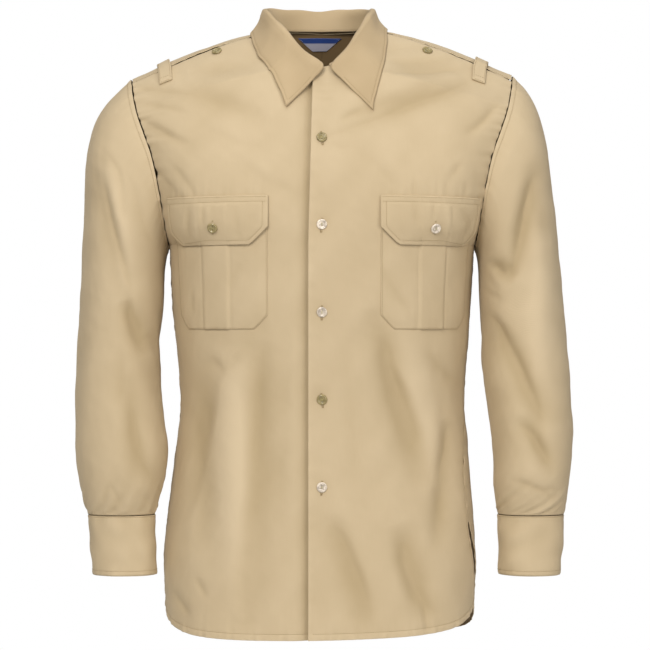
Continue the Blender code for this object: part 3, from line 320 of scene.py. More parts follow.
# %% Collar and shoulder loops
# The collar's three lines, from the wearer's right end round the back to the left end: the top fold
# and the outer edge of the fall. The third, the seam, is the neckline itself.
FOLD_LINE = np.array([
    (0.0015, -0.0880, -0.0430),
    (-0.0200, -0.0820, -0.0270),
    (-0.0440, -0.0640, -0.0010),
    (-0.0640, -0.0330, 0.0240),
    (-0.0715, 0.0050, 0.0350),
    (-0.0580, 0.0450, 0.0395),
    (0.0000, 0.0700, 0.0400),
    (0.0500, 0.0480, 0.0395),
    (0.0630, 0.0080, 0.0350),
    (0.0580, -0.0310, 0.0230),
    (0.0440, -0.0600, -0.0010),
    (0.0290, -0.0790, -0.0240),
    (0.0110, -0.0880, -0.0430),
])
FALL_EDGE = np.array([
    (-0.0425, -0.1120, -0.0940),
    (-0.0550, -0.1040, -0.0620),
    (-0.0680, -0.0900, -0.0390),
    (-0.0800, -0.0640, -0.0190),
    (-0.0870, -0.0250, -0.0060),
    (-0.0880, 0.0150, 0.0040),
    (-0.0700, 0.0620, -0.0020),
    (0.0000, 0.0920, -0.0080),
    (0.0670, 0.0620, -0.0020),
    (0.0790, 0.0150, 0.0030),
    (0.0800, -0.0250, -0.0070),
    (0.0800, -0.0560, -0.0200),
    (0.0760, -0.0820, -0.0400),
    (0.0690, -0.0980, -0.0660),
    (0.0626, -0.1100, -0.0975),
])
COLLAR_END = 0.94         # from this share of the way round, the seam's ends spread apart
COLLAR_END_SPREAD = 0.004
COLLAR_END_SHIFT = 0.005
COLLAR_SEAM_IN = 0.0030   # how far inside and above the neckline the collar's seam stands
COLLAR_SEAM_UP = 0.0018
NECK_MIDDLE = np.array([0.0, -0.006, 0.0])
ROLL = 0.0030             # half the width of the collar's fold, inside to outside
FALL_HOLLOW = 0.0022      # how far the fall curves in between its fold and its flared edge

# Each shoulder loop: where its two ends and its top lie, and its width.
LOOP_WIDTH = 0.016
LOOP_SLOPE = 0.16         # fall of the loop across its width, as the shoulder falls
LOOP_END_LIFT = 0.0017
LOOP_STAND = 0.0020       # how far the loop's middle stands higher than its ends
LOOP_PATH = np.array([
    (0.1930, -0.0520, -0.0600),
    (0.1950, -0.0320, -0.0430),
    (0.1980, -0.0080, -0.0330),
    (0.1985, 0.0160, -0.0360),
    (0.1960, 0.0340, -0.0470),
])

# %% [markdown]
# ## Curves through the tables
# Each level of the body is one curve. It leaves the centre line square, swells round, and meets
# the side seam or the armhole in the direction in which the cloth runs there.

# %% Smooth curves and distances
def smooth(knots, values, at):
    """A curve with no corners through values at knots."""
    knots, values, at = np.asarray(knots, float), np.asarray(values, float), np.asarray(at, float)
    slopes = np.gradient(values, knots, axis=0)
    i = np.clip(np.searchsorted(knots, at, side="right") - 1, 0, len(knots) - 2)
    step = knots[i + 1] - knots[i]
    t = np.clip((at - knots[i]) / step, 0.0, 1.0)
    if values.ndim > 1:
        t, step = t[..., None], step[..., None]
    start, end = (1 + 2 * t) * (1 - t) ** 2, t * t * (3 - 2 * t)
    leave, arrive = t * (1 - t) ** 2 * step, -t * t * (1 - t) * step
    return values[i] * start + values[i + 1] * end + slopes[i] * leave + slopes[i + 1] * arrive


def column(table, names, name, at, key=None):
    """One named column of a table, read at a value of its first column (or of another)."""
    keys = table[:, names.index(key or names[0])]
    return smooth(keys, table[:, names.index(name)], at)


def curve_between(a, b, way_a, way_b, hold_a, hold_b, count=161):
    """Points of the curve from a to b that leaves along way_a and arrives along way_b."""
    chord = np.linalg.norm(b - a)
    handles = (a, a + way_a * chord * hold_a, b - way_b * chord * hold_b, b)
    t = np.linspace(0, 1, count)[:, None]
    shares = ((1 - t) ** 3, 3 * t * (1 - t) ** 2, 3 * t * t * (1 - t), t ** 3)
    return sum(share * handle for share, handle in zip(shares, handles))


def lengths(points):
    """Distance along a row of points."""
    return np.concatenate([[0], np.cumsum(np.linalg.norm(np.diff(points, axis=0), axis=1))])


def at_length(points, wanted):
    """Points at the given distances along a row of points."""
    known = lengths(points)
    return np.stack([np.interp(wanted, known, points[:, k]) for k in range(3)], axis=-1)

# %% Armhole, neckline and one level of the body
def armhole(row, hand):
    """Point of an armhole, at a row of its table that need not be whole."""
    closed = np.vstack([ARMHOLE[-2], ARMHOLE, ARMHOLE[1]])[:, :3]
    point = smooth(np.arange(-1, ARMHOLE_ROWS + 2), closed, row) * (hand, 1, 1)
    if hand > 0:
        point[2] += LEFT_SHOULDER_LIFT * math.exp(-((row - ARMHOLE_ROWS / 2) / 3.5) ** 2)
    return point


def armhole_direction(row, hand):
    """The way in which the body's cloth runs as it reaches the armhole."""
    rows = np.arange(ARMHOLE_ROWS + 1)
    turn = math.radians(np.interp(row, rows, ARMHOLE[:, ARMHOLE_COLUMNS.index("turn")]))
    drop = np.interp(row, rows, ARMHOLE[:, ARMHOLE_COLUMNS.index("drop")])
    way = np.array([math.cos(turn) * hand, math.sin(turn), -drop])
    return way / np.linalg.norm(way)


def neckline(row, hand):
    """Point of the neckline and the way in which the body's cloth leaves it."""
    found = smooth(np.arange(len(NECKLINE)), NECKLINE, row)
    way = found[3:] * (hand, 1, 1)
    place = found[:3] * (hand, 1, 1)
    if hand > 0:
        place[2] += LEFT_NECK_LIFT * math.exp(-((row - NECKLINE_FRONT_SEAM - 0.5) / 1.4) ** 2)
    return place, way / np.linalg.norm(way)


def body_level(hand, level, face):
    """The cloth at one level of one half of the body, from its centre or neck edge outwards.

    face is -1 for the front and 1 for the back. Up to the neck a level is the height at the centre
    line. Past it, levels run on along the neckline to the yoke's front seam.
    """
    top = FRONT_NECK if face < 0 else BACK_NECK
    last = 0.0 if face < 0 else SHOULDER_TURN
    table = FRONT_LEVELS if face < 0 else BACK_LEVELS
    name = "right" if hand < 0 else "left"
    if level <= top:
        depth = column(CENTRE, CENTRE_COLUMNS, "front" if face < 0 else "back", level)
        start, way_in = np.array([0, face * depth, level]), np.array([hand, 0.0, 0.0])
    else:
        share = (level - top) / (last - top)
        rows = (0, NECKLINE_FRONT_SEAM) if face < 0 else (NECKLINE_BACK, NECKLINE_FRONT_SEAM)
        start, way_in = neckline(rows[0] + share * (rows[1] - rows[0]), hand)
    if level <= UNDERARM:
        width = column(SIDES, SIDE_COLUMNS, name, level)
        end = np.array([hand * width, column(SIDES, SIDE_COLUMNS, "side_y", level), level])
        way_out, (hold_in, hold_out) = np.array([0.0, -face, 0.0]), table[0, 2:]
    else:
        row = column(table, LEVEL_COLUMNS, "armhole_row", level)
        end, way_out = armhole(row, hand), armhole_direction(row, hand)
        hold_in = column(table, LEVEL_COLUMNS, "hold_in", level)
        hold_out = column(table, LEVEL_COLUMNS, "hold_out", level)
    return curve_between(start, end, way_in, way_out, hold_in, hold_out)

# %% Side seams, hems and rows of the body
def side_seam(hand, level):
    """Where the side seam is, as a share of the front's curve at this level."""
    name = "seam_right" if hand < 0 else "seam_left"
    return float(column(SIDES, SIDE_COLUMNS, name, level)) if level < UNDERARM else 1.0


def overlap(level):
    """How far each front runs past the centre line at one level."""
    return float(np.interp(level, (UNDERARM, FRONT_NECK), (OVERLAP, OVERLAP_AT_NECK)))


def lowness(level, lowest):
    """0 at the armhole's foot and above, and 1 at the hem, gathered near the hem."""
    return np.clip((UNDERARM - level) / (UNDERARM - lowest), 0, 1) ** HEM_POWER


def hem_rise(hand, share, level, lowest):
    """How far a row near the hem is lifted, at a share of the way to the side seam."""
    share = np.clip(share, 0, 1)
    corner = HEM_CORNER_RISE[hand] * share ** HEM_POWER
    return (corner + HEM_BOW * share ** 2) * lowness(level, lowest)


def edge_trim(level):
    """Distance from a side seam or armhole to a panel's edge: half a gap, more in an open vent."""
    opened = np.clip((VENT_TOP - level) / VENT_OPENING, 0, 1)
    return SEAM_GAP / 2 + VENT_SPREAD * opened * (2 - opened)


def front_points(hand, distances, level):
    """Points of a front at distances along its cloth from the centre line, at one level."""
    curve = body_level(hand, level, -1)
    distances = np.asarray(distances, float)
    points = at_length(curve, np.abs(distances))
    points[distances < 0, 0] *= -1
    reach = lengths(curve)[-1] * side_seam(hand, level)
    points[:, 2] += hem_rise(hand, distances / reach, level, FRONT_HEM)
    points[:, 2] += HEM_TILT * points[:, 0] * lowness(level, FRONT_HEM)
    return points


def front_reach(hand, level):
    """Distance along a front from its centre or neck edge to its side seam or armhole."""
    return lengths(body_level(hand, level, -1))[-1] * side_seam(hand, level)


def back_row(hand, level, shares):
    """Points of half of the back or yoke, at shares of the way from its inner edge outwards."""
    curve = body_level(hand, level, 1)
    reach = lengths(curve)[-1]
    if level < UNDERARM and side_seam(hand, level) < 1:
        front = body_level(hand, level, -1)[::-1]
        borrowed = lengths(front)[-1] * (1 - side_seam(hand, level))
        curve = np.vstack([curve, at_length(front, np.linspace(0, borrowed, 12)[1:])])
        reach += borrowed
    points = at_length(curve, np.asarray(shares) * (reach - edge_trim(level)))
    points[:, 2] += hem_rise(hand, np.asarray(shares), level, BACK_HEM)
    return points

# %% [markdown]
# ## Directions and layers
# A crease is pushed in or out along the direction that the cloth faces, so every grid needs its
# normals. A layer that lies on another, such as a pocket on a front, is held off it by finding
# the nearest point of the layer below.

# %% Normals and the plain folds
def normals_of(grid, closed=False):
    """Unit normals of a grid of points, whose columns run round a loop if it is closed."""
    if closed:
        across = (np.roll(grid, -1, axis=1) - np.roll(grid, 1, axis=1)) / 2
    else:
        across = np.gradient(grid, axis=1)
    along = np.gradient(grid, axis=0)
    found = np.cross(across, along)
    return found / np.maximum(np.linalg.norm(found, axis=2, keepdims=True), 1e-9)


def fold_height(grid, folds):
    """Sum of the folds' heights at each point of a grid, as seen from the front or the back."""
    total = np.zeros(grid.shape[:2])
    for x1, z1, x2, z2, width, height in folds:
        start, run = np.array([x1, z1]), np.array([x2 - x1, z2 - z1])
        offset = grid[..., [0, 2]] - start
        along = (offset @ run) / (run @ run)
        aside = (offset[..., 0] * run[1] - offset[..., 1] * run[0]) / np.linalg.norm(run)
        fade = np.sin(math.pi * np.clip(along, 0, 1)) ** 0.8
        total += height * np.exp(-(aside / width) ** 2) * fade
    return total


def outward(grid):
    """The grid with its columns in the order that makes its normals point away from the body."""
    away = grid * (1, 1, 0)
    return grid if (normals_of(grid) * away).sum() > 0 else grid[:, ::-1]


def outward_tube(grid, closed=True):
    """A tube's points in the order that makes its normals point out of it."""
    normals = normals_of(grid, closed)
    middle = grid.mean(axis=1, keepdims=True)
    return grid if (normals * (grid - middle)).sum() > 0 else grid[:, ::-1]

# %% Layers
def grid_faces(rows, columns, closed=False, first=0):
    """Quads of a grid whose points are numbered row by row."""
    last = columns if closed else columns - 1
    return [
        (
            first + r * columns + c,
            first + r * columns + (c + 1) % columns,
            first + (r + 1) * columns + (c + 1) % columns,
            first + (r + 1) * columns + c,
        )
        for r in range(rows - 1)
        for c in range(last)
    ]


def surface_tree(grids):
    """The given grids as one surface, for finding the nearest point of it."""
    points, faces = [], []
    for grid, closed in grids:
        faces += grid_faces(*grid.shape[:2], closed, len(points))
        points += [Vector(p) for p in grid.reshape(-1, 3)]
    return BVHTree.FromPolygons(points, faces)


def laid_on(points, tree, lift):
    """Each point put at this distance over the nearest point of a surface."""
    laid = []
    for point in np.asarray(points).reshape(-1, 3):
        place, normal, _, _ = tree.find_nearest(Vector(point))
        laid.append(place + normal * lift)
    return np.array(laid).reshape(np.shape(points))


def kept_off(points, tree, lift, reach=0.03):
    """Each point that lies under a surface, or closer over it than lift, moved out to lift.

    A point beside the surface, past its edge, stays where it is.
    """
    kept = []
    for point in np.asarray(points).reshape(-1, 3):
        place, normal, _, distance = tree.find_nearest(Vector(point))
        offset = Vector(point) - place
        height = offset.dot(normal)
        aside = (offset - normal * height).length
        over = aside < 0.5 * distance + 1e-6
        kept.append(place + normal * lift if over and height < lift and distance < reach
                    else Vector(point))
    return np.array(kept).reshape(np.shape(points))


# %% [markdown]
# ## Creases
# Worn poplin creases in long uneven lines: diagonal pulls across the chest from the armholes,
# deep breaks at the elbows, and long soft folds down the skirt. A simulation would put them
# somewhere else, so each is given as a short path with a depth and a width of its own on
# each side. A fold whose one side is steep and whose other side is soft is what makes cloth look
# like cloth. Paths are in millimetres as seen from straight in front, 3.2 m away, on the plane
# through the shoulders. The front's points were read off the photograph and worked out in
# millimetres from its scale, and those of the back are guessed.

# %% Creases of the fronts, the pockets and the sleeves
# Each row: width above or to the right, width on the other side, height (a trough is negative),
# and the path.
BODY_FRONT_CREASES = (
    # chest, wearer's right
    (4, 6, -2.2, ((-235, -65), (-202, -68), (-165, -71))),
    (5, 5, -1.6, ((-235, -84), (-202, -88), (-171, -95))),
    (5, 10, -2.6, ((-230, -102), (-202, -118), (-165, -136))),
    (4, 4, -1.4, ((-206, -42), (-220, -44), (-232, -49))),
    (14, 14, -1.2, ((-234, -70), (-152, -88), (-78, -111))),
    (5, 10, -1.8, ((-221, -155), (-196, -182), (-171, -211))),
    (4, 6, -1.5, ((-188, -161), (-172, -180), (-156, -202))),
    (8, 12, -1.1, ((-112, -142), (-80, -175), (-28, -200))),
    (7, 9, -1.0, ((-146, -115), (-108, -132), (-75, -142))),
    # chest, wearer's left
    (4, 6, -2.2, ((74, -45), (134, -44), (191, -39))),
    (4, 5, -1.2, ((79, -31), (135, -30), (185, -25))),
    (4, 5, -1.0, ((79, -18), (104, -15), (129, -14))),
    (5, 15, -3.2, ((22, -118), (54, -108), (86, -95), (118, -82), (150, -71), (192, -54))),
    (4, 5, -1.8, ((22, -105), (38, -96), (54, -91))),
    (5, 7, -2.5, ((221, -84), (198, -110), (181, -122))),
    (5, 6, -1.5, ((175, -158), (166, -170), (158, -182))),
    (6, 8, -0.9, ((38, -142), (72, -165), (91, -188))),
    (3, 3, -0.8, ((115, -178), (115, -199))),
    (3, 3, -0.8, ((144, -180), (144, -199))),
    (3, 3, -0.7, ((156, -181), (156, -199))),
    (3, 3, -0.8, ((181, -180), (181, -200))),
    (3, 4, -0.9, ((14, -122), (26, -119), (38, -120))),
    (3, 4, -0.7, ((12, -134), (25, -139), (35, -138))),
    (2.5, 3, -0.9, ((-5, -60), (6, -61), (18, -60))),
    (2.5, 3, -0.9, ((-8, -69), (5, -70), (20, -68))),
    (2.5, 3, -0.7, ((-10, -78), (2, -79), (15, -76))),
    # skirt, wearer's right
    (6, 10, -2.0, ((-140, -400), (-130, -412), (-120, -425))),
    (6, 8, -1.6, ((-102, -395), (-111, -408), (-119, -422))),
    (26, 8, 3.0, ((-120, -425), (-132, -492), (-148, -555), (-160, -605), (-165, -655))),
    (8, 12, -2.2, ((-72, -368), (-82, -468), (-90, -592), (-98, -669), (-95, -731))),
    (5, 6, -2.5, ((-188, -691), (-176, -710), (-165, -726))),
    (4, 4, -1.6, ((-158, -676), (-151, -690), (-145, -701))),
    (9, 14, -1.2, ((-45, -380), (-48, -480), (-52, -580), (-48, -655))),
    (6, 9, -1.4, ((-170, -455), (-158, -492), (-155, -542))),
    # skirt, wearer's left
    (6, 13, -3.4, ((76, -368), (85, -400), (98, -442), (118, -490), (132, -540))),
    (10, 5, 2.2, ((85, -400), (100, -425), (115, -450))),
    (6, 10, -2.8, ((132, -395), (162, -428), (176, -440))),
    (6, 12, -3.0, ((10, -604), (28, -629), (38, -651), (50, -681), (62, -736))),
    (6, 10, -3.0, ((99, -629), (108, -669), (128, -706), (148, -729))),
    (4, 5, -2.0, ((128, -711), (131, -730), (132, -746))),
    (9, 14, -1.2, ((29, -405), (38, -492), (42, -580))),
    (5, 8, -1.6, ((148, -455), (155, -505), (145, -555))),
)
FLAP_AND_POCKET_CREASES = (
    # wearer's right
    (4, 4, -1.7, ((-165, -211), (-166, -232), (-164, -255))),
    (3, 3, -1.2, ((-148, -211), (-148, -236))),
    (4, 4, 1.0, ((-156, -211), (-156, -255))),
    (4, 4, 0.9, ((-141, -211), (-140, -252))),
    (4, 5, -0.9, ((-108, -211), (-105, -250))),
    (6, 10, -1.2, ((-101, -282), (-110, -300), (-119, -316))),
    (3, 4, -1.3, ((-161, -315), (-161, -330), (-161, -349))),
    # wearer's left
    (4, 4, -1.3, ((114, -205), (116, -220), (118, -238))),
    (3, 3, -1.1, ((138, -205), (138, -229))),
    (4, 5, -2.2, ((171, -214), (182, -234), (174, -252))),
    (4, 5, 0.9, ((154, -211), (159, -249))),
    (5, 8, -2.0, ((70, -282), (85, -308), (98, -330), (112, -349))),
)
SLEEVE_FRONT_CREASES = (
    # wearer's right
    (6, 9, 2.4, ((-281, -146), (-274, -200), (-251, -291), (-224, -371))),
    (5, 6, -2.6, ((-274, -178), (-262, -235), (-246, -291), (-235, -336))),
    (4, 6, -2.2, ((-272, -144), (-256, -166), (-249, -200), (-247, -235))),
    (5, 7, -2.4, ((-247, -171), (-235, -189), (-226, -224), (-218, -246), (-206, -266))),
    (5, 6, -3.4, ((-222, -178), (-210, -199), (-199, -211))),
    (5, 7, -3.0, ((-245, -316), (-235, -349), (-224, -371), (-218, -386))),
    (5, 5, -3.0, ((-215, -370), (-211, -382), (-209, -395))),
    (6, 9, -3.2, ((-238, -461), (-228, -508), (-219, -538), (-204, -565))),
    (4, 4, -1.5, ((-201, -475), (-200, -486), (-201, -500))),
    (3, 4, -2.0, ((-265, -560), (-255, -578), (-245, -595))),
    (3, 4, -2.0, ((-268, -560), (-272, -578), (-278, -598))),
    (3, 3, -2.0, ((-225, -574), (-218, -581), (-209, -592))),
    (7, 9, -1.2, ((-262, -92), (-272, -130), (-278, -168))),
    (5, 8, -1.4, ((-252, -392), (-250, -430), (-255, -468))),
    # wearer's left
    (8, 5, -1.6, ((230, -73), (245, -89), (260, -108), (269, -121))),
    (5, 9, 2.2, ((255, -114), (238, -139), (224, -171), (208, -208), (196, -230))),
    (6, 7, -3.6, ((202, -170), (205, -192), (206, -215))),
    (5, 8, -3.2, ((264, -175), (255, -223), (246, -261), (240, -286), (230, -305))),
    (4, 6, -2.8, ((203, -278), (215, -288), (229, -301))),
    (4, 4, -2.0, ((190, -282), (204, -299), (220, -318))),
    (4, 4, -2.0, ((195, -310), (210, -321), (225, -331))),
    (5, 7, -2.8, ((199, -341), (219, -360), (230, -384))),
    (6, 9, -3.0, ((221, -368), (237, -394), (255, -428), (271, -468), (276, -495))),
    (5, 7, -2.8, ((245, -482), (261, -495), (275, -515), (286, -539))),
    (4, 4, -1.5, ((207, -449), (211, -445), (217, -441))),
    (4, 5, -3.0, ((237, -555), (251, -559), (271, -567), (296, -582))),
    (3, 4, -1.8, ((269, -568), (282, -566), (298, -568))),
    (3, 4, -1.8, ((222, -578), (230, -588), (235, -598))),
    (7, 9, -1.2, ((274, -205), (279, -255), (280, -305))),
)

# %% Creases of the back, where a shirt is worn creased in the same way
BODY_BACK_CREASES = (
    (6, 12, -2.4, ((-205, -130), (-150, -150), (-95, -160))),
    (6, 12, -2.2, ((208, -120), (150, -146), (100, -152))),
    (5, 9, -2.0, ((-190, -185), (-150, -225), (-120, -280))),
    (5, 9, -2.2, ((192, -190), (160, -225), (125, -290))),
    (4, 7, -1.6, ((-215, -100), (-190, -112), (-165, -118))),
    (4, 7, -1.6, ((216, -95), (190, -110), (168, -114))),
    (8, 14, -1.6, ((-60, -150), (-30, -210), (-20, -300))),
    (8, 14, -1.6, ((66, -160), (40, -220), (28, -310))),
    (6, 11, -2.4, ((-150, -400), (-110, -412), (-60, -405))),
    (6, 11, -2.4, ((150, -410), (105, -424), (50, -415))),
    (5, 9, -2.0, ((-160, -440), (-120, -452), (-85, -450))),
    (5, 9, -1.8, ((158, -452), (125, -462), (90, -458))),
    (8, 12, -2.6, ((-100, -460), (-108, -560), (-122, -700))),
    (8, 12, -2.6, ((98, -470), (110, -570), (120, -705))),
    (9, 16, -2.0, ((-35, -450), (-28, -560), (-34, -690))),
    (9, 16, -2.0, ((40, -440), (34, -560), (44, -700))),
    (4, 5, -1.6, ((-150, -680), (-142, -705), (-136, -730))),
    (4, 5, -1.6, ((84, -690), (88, -712), (90, -740))),
)
SLEEVE_BACK_CREASES = (
    (5, 8, -3.0, ((-275, -300), (-245, -322), (-208, -330))),
    (5, 8, -3.2, ((-282, -345), (-250, -362), (-212, -372))),
    (5, 9, -2.6, ((-285, -395), (-255, -405), (-220, -398))),
    (5, 8, -2.6, ((-236, -130), (-250, -180), (-262, -250))),
    (6, 9, -2.6, ((-262, -430), (-240, -490), (-235, -550))),
    (5, 8, -3.0, ((280, -305), (250, -326), (210, -340))),
    (5, 8, -3.2, ((288, -352), (255, -368), (215, -380))),
    (5, 9, -2.6, ((290, -402), (262, -410), (226, -404))),
    (5, 8, -2.6, ((236, -125), (254, -180), (266, -255))),
    (6, 9, -2.6, ((272, -440), (250, -500), (246, -556))),
    (3, 4, -1.8, ((-262, -560), (-258, -578), (-252, -596))),
    (3, 4, -1.8, ((262, -560), (264, -578), (268, -596))),
)

# %% Reading a crease
VIEW_DISTANCE = 3.2
VIEW_X = 0.00375
VIEW_Z = -0.361
PATH_STEPS = 24


def seen(points):
    """Where points are seen from straight in front, in millimetres on the shoulders' plane."""
    closer = VIEW_DISTANCE / (VIEW_DISTANCE + points[..., 1])
    across = VIEW_X + (points[..., 0] - VIEW_X) * closer
    up = VIEW_Z + (points[..., 2] - VIEW_Z) * closer
    return np.stack([across, up], axis=-1) * 1000


def one_crease(spots, right, left, height, path):
    """Height of one crease at each spot, steeper on the side with the smaller width."""
    path = np.array(path, float)
    knots = np.concatenate([[0], np.cumsum(np.linalg.norm(np.diff(path, axis=0), axis=1))])
    line = smooth(knots, path, np.linspace(0, knots[-1], PATH_STEPS))
    reach = 3 * max(right, left)
    near = ((spots > line.min(axis=0) - reach) & (spots < line.max(axis=0) + reach)).all(axis=1)
    total = np.zeros(len(spots))
    if not near.any():
        return total
    spots = spots[near][:, None]
    start, run = line[:-1], np.diff(line, axis=0)
    along = ((spots - start) * run).sum(axis=2) / (run ** 2).sum(axis=1)
    offset = spots - start - np.clip(along, 0, 1)[..., None] * run
    distance = np.linalg.norm(offset, axis=2)
    nearest = distance.argmin(axis=1)
    rows = np.arange(len(nearest))
    side = run[nearest, 0] * offset[rows, nearest, 1] - run[nearest, 1] * offset[rows, nearest, 0]
    width = np.where(side > 0, right, left)
    share = (nearest + np.clip(along[rows, nearest], 0, 1)) / len(run)
    fade = np.sin(math.pi * np.clip(share, 0.02, 0.98)) ** 0.6
    total[near] = height * np.exp(-(distance[rows, nearest] / width) ** 1.7) * fade
    return total


def crease_height(grid, creases):
    """Height of all creases at each point of a grid, in metres."""
    spots = seen(grid).reshape(-1, 2)
    total = sum(one_crease(spots, *crease) for crease in creases)
    return total.reshape(grid.shape[:2]) / 1000

# %% [markdown]
# ## What lies between the creases
# No two threads hang quite alike, so even a pressed front swells and sinks by fractions of a
# millimetre. Slow random swells come from sums of plane waves with a seeded start, so that every
# run gives the same shirt. Along a seam the thread draws the cloth in, and it ripples: that is
# what makes a seam look sewn.

# %% Unevenness and puckers
def swells(points, size, height, seed):
    """Slow uneven swells of about one size."""
    dice = np.random.default_rng(seed)
    total = 0
    for _ in range(12):
        way = dice.normal(size=3)
        way /= np.linalg.norm(way) * size * dice.uniform(0.7, 1.6)
        total = total + np.sin(points @ way * 2 * math.pi + dice.uniform(0, 2 * math.pi))
    return total * height / math.sqrt(6)


def ripples(along, pitch, seed):
    """Uneven ripples along a seam, between -1 and 1."""
    dice = np.random.default_rng(seed)
    parts = [np.sin(2 * math.pi * along / (pitch * stretch) + dice.uniform(0, 2 * math.pi))
             for stretch in (0.72, 1.0, 1.63)]
    return sum(parts) / 3


def dressed(grid, front, back, seed, closed=False, strength=1.0, extra=0.0):
    """The grid with folds and creases on the side they are seen from, and with its unevenness.

    front and back are each a table of large folds and a tuple of creases. Returns the grid and
    the height that it was moved by, which the cloth's colour also follows a little, as painted
    shade in its troughs and painted light on its ridges.
    """
    normals = normals_of(grid, closed)
    height = swells(grid, 0.050, 0.00034, seed) + swells(grid, 0.016, 0.00010, seed + 1)
    for facing, (folds, creases) in ((-1, front), (1, back)):
        shown = np.clip(facing * normals[..., 1] * 1.6, 0, 1)
        height += (fold_height(grid, folds) + crease_height(grid, creases)) * shown
    height = height * strength + extra
    return grid + normals * height[..., None], height


def lifted(grid, distance, closed=False):
    """The grid moved out along its normals."""
    return grid + normals_of(grid, closed) * (np.zeros(grid.shape[:2]) + distance)[..., None]


# %% [markdown]
# ## Cotton and polyester poplin
# The shirt is poplin: a close plain weave of about forty threads to the centimetre, khaki, with a
# faint sheen from its polyester. A picture of cloth could be wrapped round it, but a weave worked
# out from the thread's own spacing stays right at any distance. Real threads lie 0.25 mm apart,
# finer than this view can show, so they are drawn 0.6 mm apart and very shallow. Slightly thicker
# threads (slubs) and a slow mottle keep the colour from being flat, and the cloth is painted a
# little deeper in its troughs and paler on its ridges: painted shade and painted light.

# %% Colours and nodes
def linear(hex_colour):
    """An sRGB hex colour as linear red, green, blue and a full alpha."""
    parts = [int(hex_colour[k:k + 2], 16) / 255 for k in (1, 3, 5)]
    return (*[p / 12.92 if p <= 0.04045 else ((p + 0.055) / 1.055) ** 2.4 for p in parts], 1.0)


def add(tree, kind, inputs=(), **settings):
    """A node with its settings, and with each input a plain value or a link."""
    made = tree.nodes.new("ShaderNode" + kind)
    for name, value in settings.items():
        setattr(made, name, value)
    for socket, value in dict(inputs).items():
        if isinstance(value, bpy.types.NodeSocket):
            tree.links.new(value, made.inputs[socket])
        else:
            made.inputs[socket].default_value = value
    return made


def finish_of(name, **values):
    """A material with its shader's own sockets set, and its node tree."""
    made = bpy.data.materials.new(name)
    made.use_nodes = True
    shader = made.node_tree.nodes["Principled BSDF"]
    for socket, value in values.items():
        shader.inputs[socket.replace("_", " ")].default_value = value
    return made, made.node_tree, shader

# %% Poplin
THREAD_PAIR = 0.0012      # one thread over and one under, drawn coarser than the real 0.5 mm
WEAVE_DEPTH = 0.00006
SLUBS = (1400.0, 45.0, 1.0)       # a slub is under a millimetre wide and 2 cm long
MOTTLE_SCALE = 11.0       # patches of 9 cm


def poplin(name, pale_tone_and_ridge_light, deep_tone_and_trough_shade, slub_share=0.10, roughness=0.72):
    """Poplin in two close tones, a pale one for its ridges and painted light, a deep one for its
    troughs and painted shade, mixed with mottle and slubs.
    """
    made, tree, shader = finish_of(
        name, Roughness=roughness, IOR=1.5, Specular_IOR_Level=0.28,
        Sheen_Weight=0.22, Sheen_Roughness=0.45, Sheen_Tint=linear("#FFF4E0"))
    grain = add(tree, "UVMap", uv_map="grain")
    place = add(tree, "SeparateXYZ", {0: grain.outputs[0]})
    threads = []
    for axis in (0, 1):
        turns = add(tree, "Math", {0: place.outputs[axis], 1: 2 * math.pi / THREAD_PAIR},
                    operation="MULTIPLY")
        threads.append(add(tree, "Math", {0: turns.outputs[0]}, operation="SINE"))
    weave = add(tree, "Math", {0: threads[0].outputs[0], 1: threads[1].outputs[0]},
                operation="MULTIPLY")
    lengthwise = add(tree, "VectorMath", {0: grain.outputs[0], 1: SLUBS}, operation="MULTIPLY")
    slub = add(tree, "TexNoise", {"Vector": lengthwise.outputs[0], "Scale": 1.0, "Detail": 2.0})
    spot = add(tree, "TexCoord")
    mottle = add(tree, "TexNoise", {
        "Vector": spot.outputs["Object"], "Scale": MOTTLE_SCALE, "Detail": 4.0, "Roughness": 0.6})
    # The crease attribute paints shade into the troughs and light onto the ridges, mixed into the
    # colour with the mottle and the slubs.
    crease = add(tree, "Attribute", attribute_name="crease")
    slub_and_crease_shade = add(tree, "Math", {0: slub.outputs[0], 1: slub_share, 2: crease.outputs["Fac"]},
                 operation="MULTIPLY_ADD")
    mottle_and_crease_shade = add(tree, "Math", {0: mottle.outputs[0], 1: 0.35, 2: slub_and_crease_shade.outputs[0]},
                operation="MULTIPLY_ADD")
    colour = add(tree, "Mix", {0: mottle_and_crease_shade.outputs[0], 6: linear(deep_tone_and_trough_shade), 7: linear(pale_tone_and_ridge_light)},
                 data_type="RGBA")
    tree.links.new(colour.outputs[2], shader.inputs["Base Color"])
    relief = add(tree, "Math", {0: slub.outputs[0], 1: 0.8, 2: weave.outputs[0]},
                 operation="MULTIPLY_ADD")
    bump = add(tree, "Bump", {"Height": relief.outputs[0], "Strength": 1.0,
                              "Distance": WEAVE_DEPTH})
    tree.links.new(bump.outputs[0], shader.inputs["Normal"])
    return made


# Each poplin's deep tone is painted shade in troughs and its pale tone painted light on ridges,
# besides its mottle and slubs.
body_poplin = poplin("poly_cotton_poplin", "#D3C2A4", "#AF9C79")
collar_poplin = poplin("poly_cotton_poplin_collar", "#C9B594", "#A38E6B")
# The inside is a darker copy of the same poplin: painted shade for the inside of the shirt.
shaded_inside_poplin = poplin("poly_cotton_poplin_painted_inside_shade", "#8A7453", "#5F4A30")
print("poplin threads drawn", THREAD_PAIR / 2 * 1000, "mm apart")

# %% [markdown]
# ## Thread, buttons and label
# The seams are sewn with polyester thread a little deeper than the cloth, with a soft gloss. The
# buttons are cast polyester made to look like shell: a milky white with pale grey clouds, and a
# khaki one of the same kind. They are polished, so they carry small sharp highlights. The neck
# label is woven satin, blue, with a pale foot; it stays bare.

# %% Thread and cast polyester
thread_finish, _, _ = finish_of(
    "polyester_thread", Base_Color=linear("#A08C68"), Roughness=0.5, IOR=1.5, Sheen_Weight=0.1)
dark_thread, _, _ = finish_of(
    "polyester_thread_khaki", Base_Color=linear("#A9A273"), Roughness=0.5, IOR=1.5)


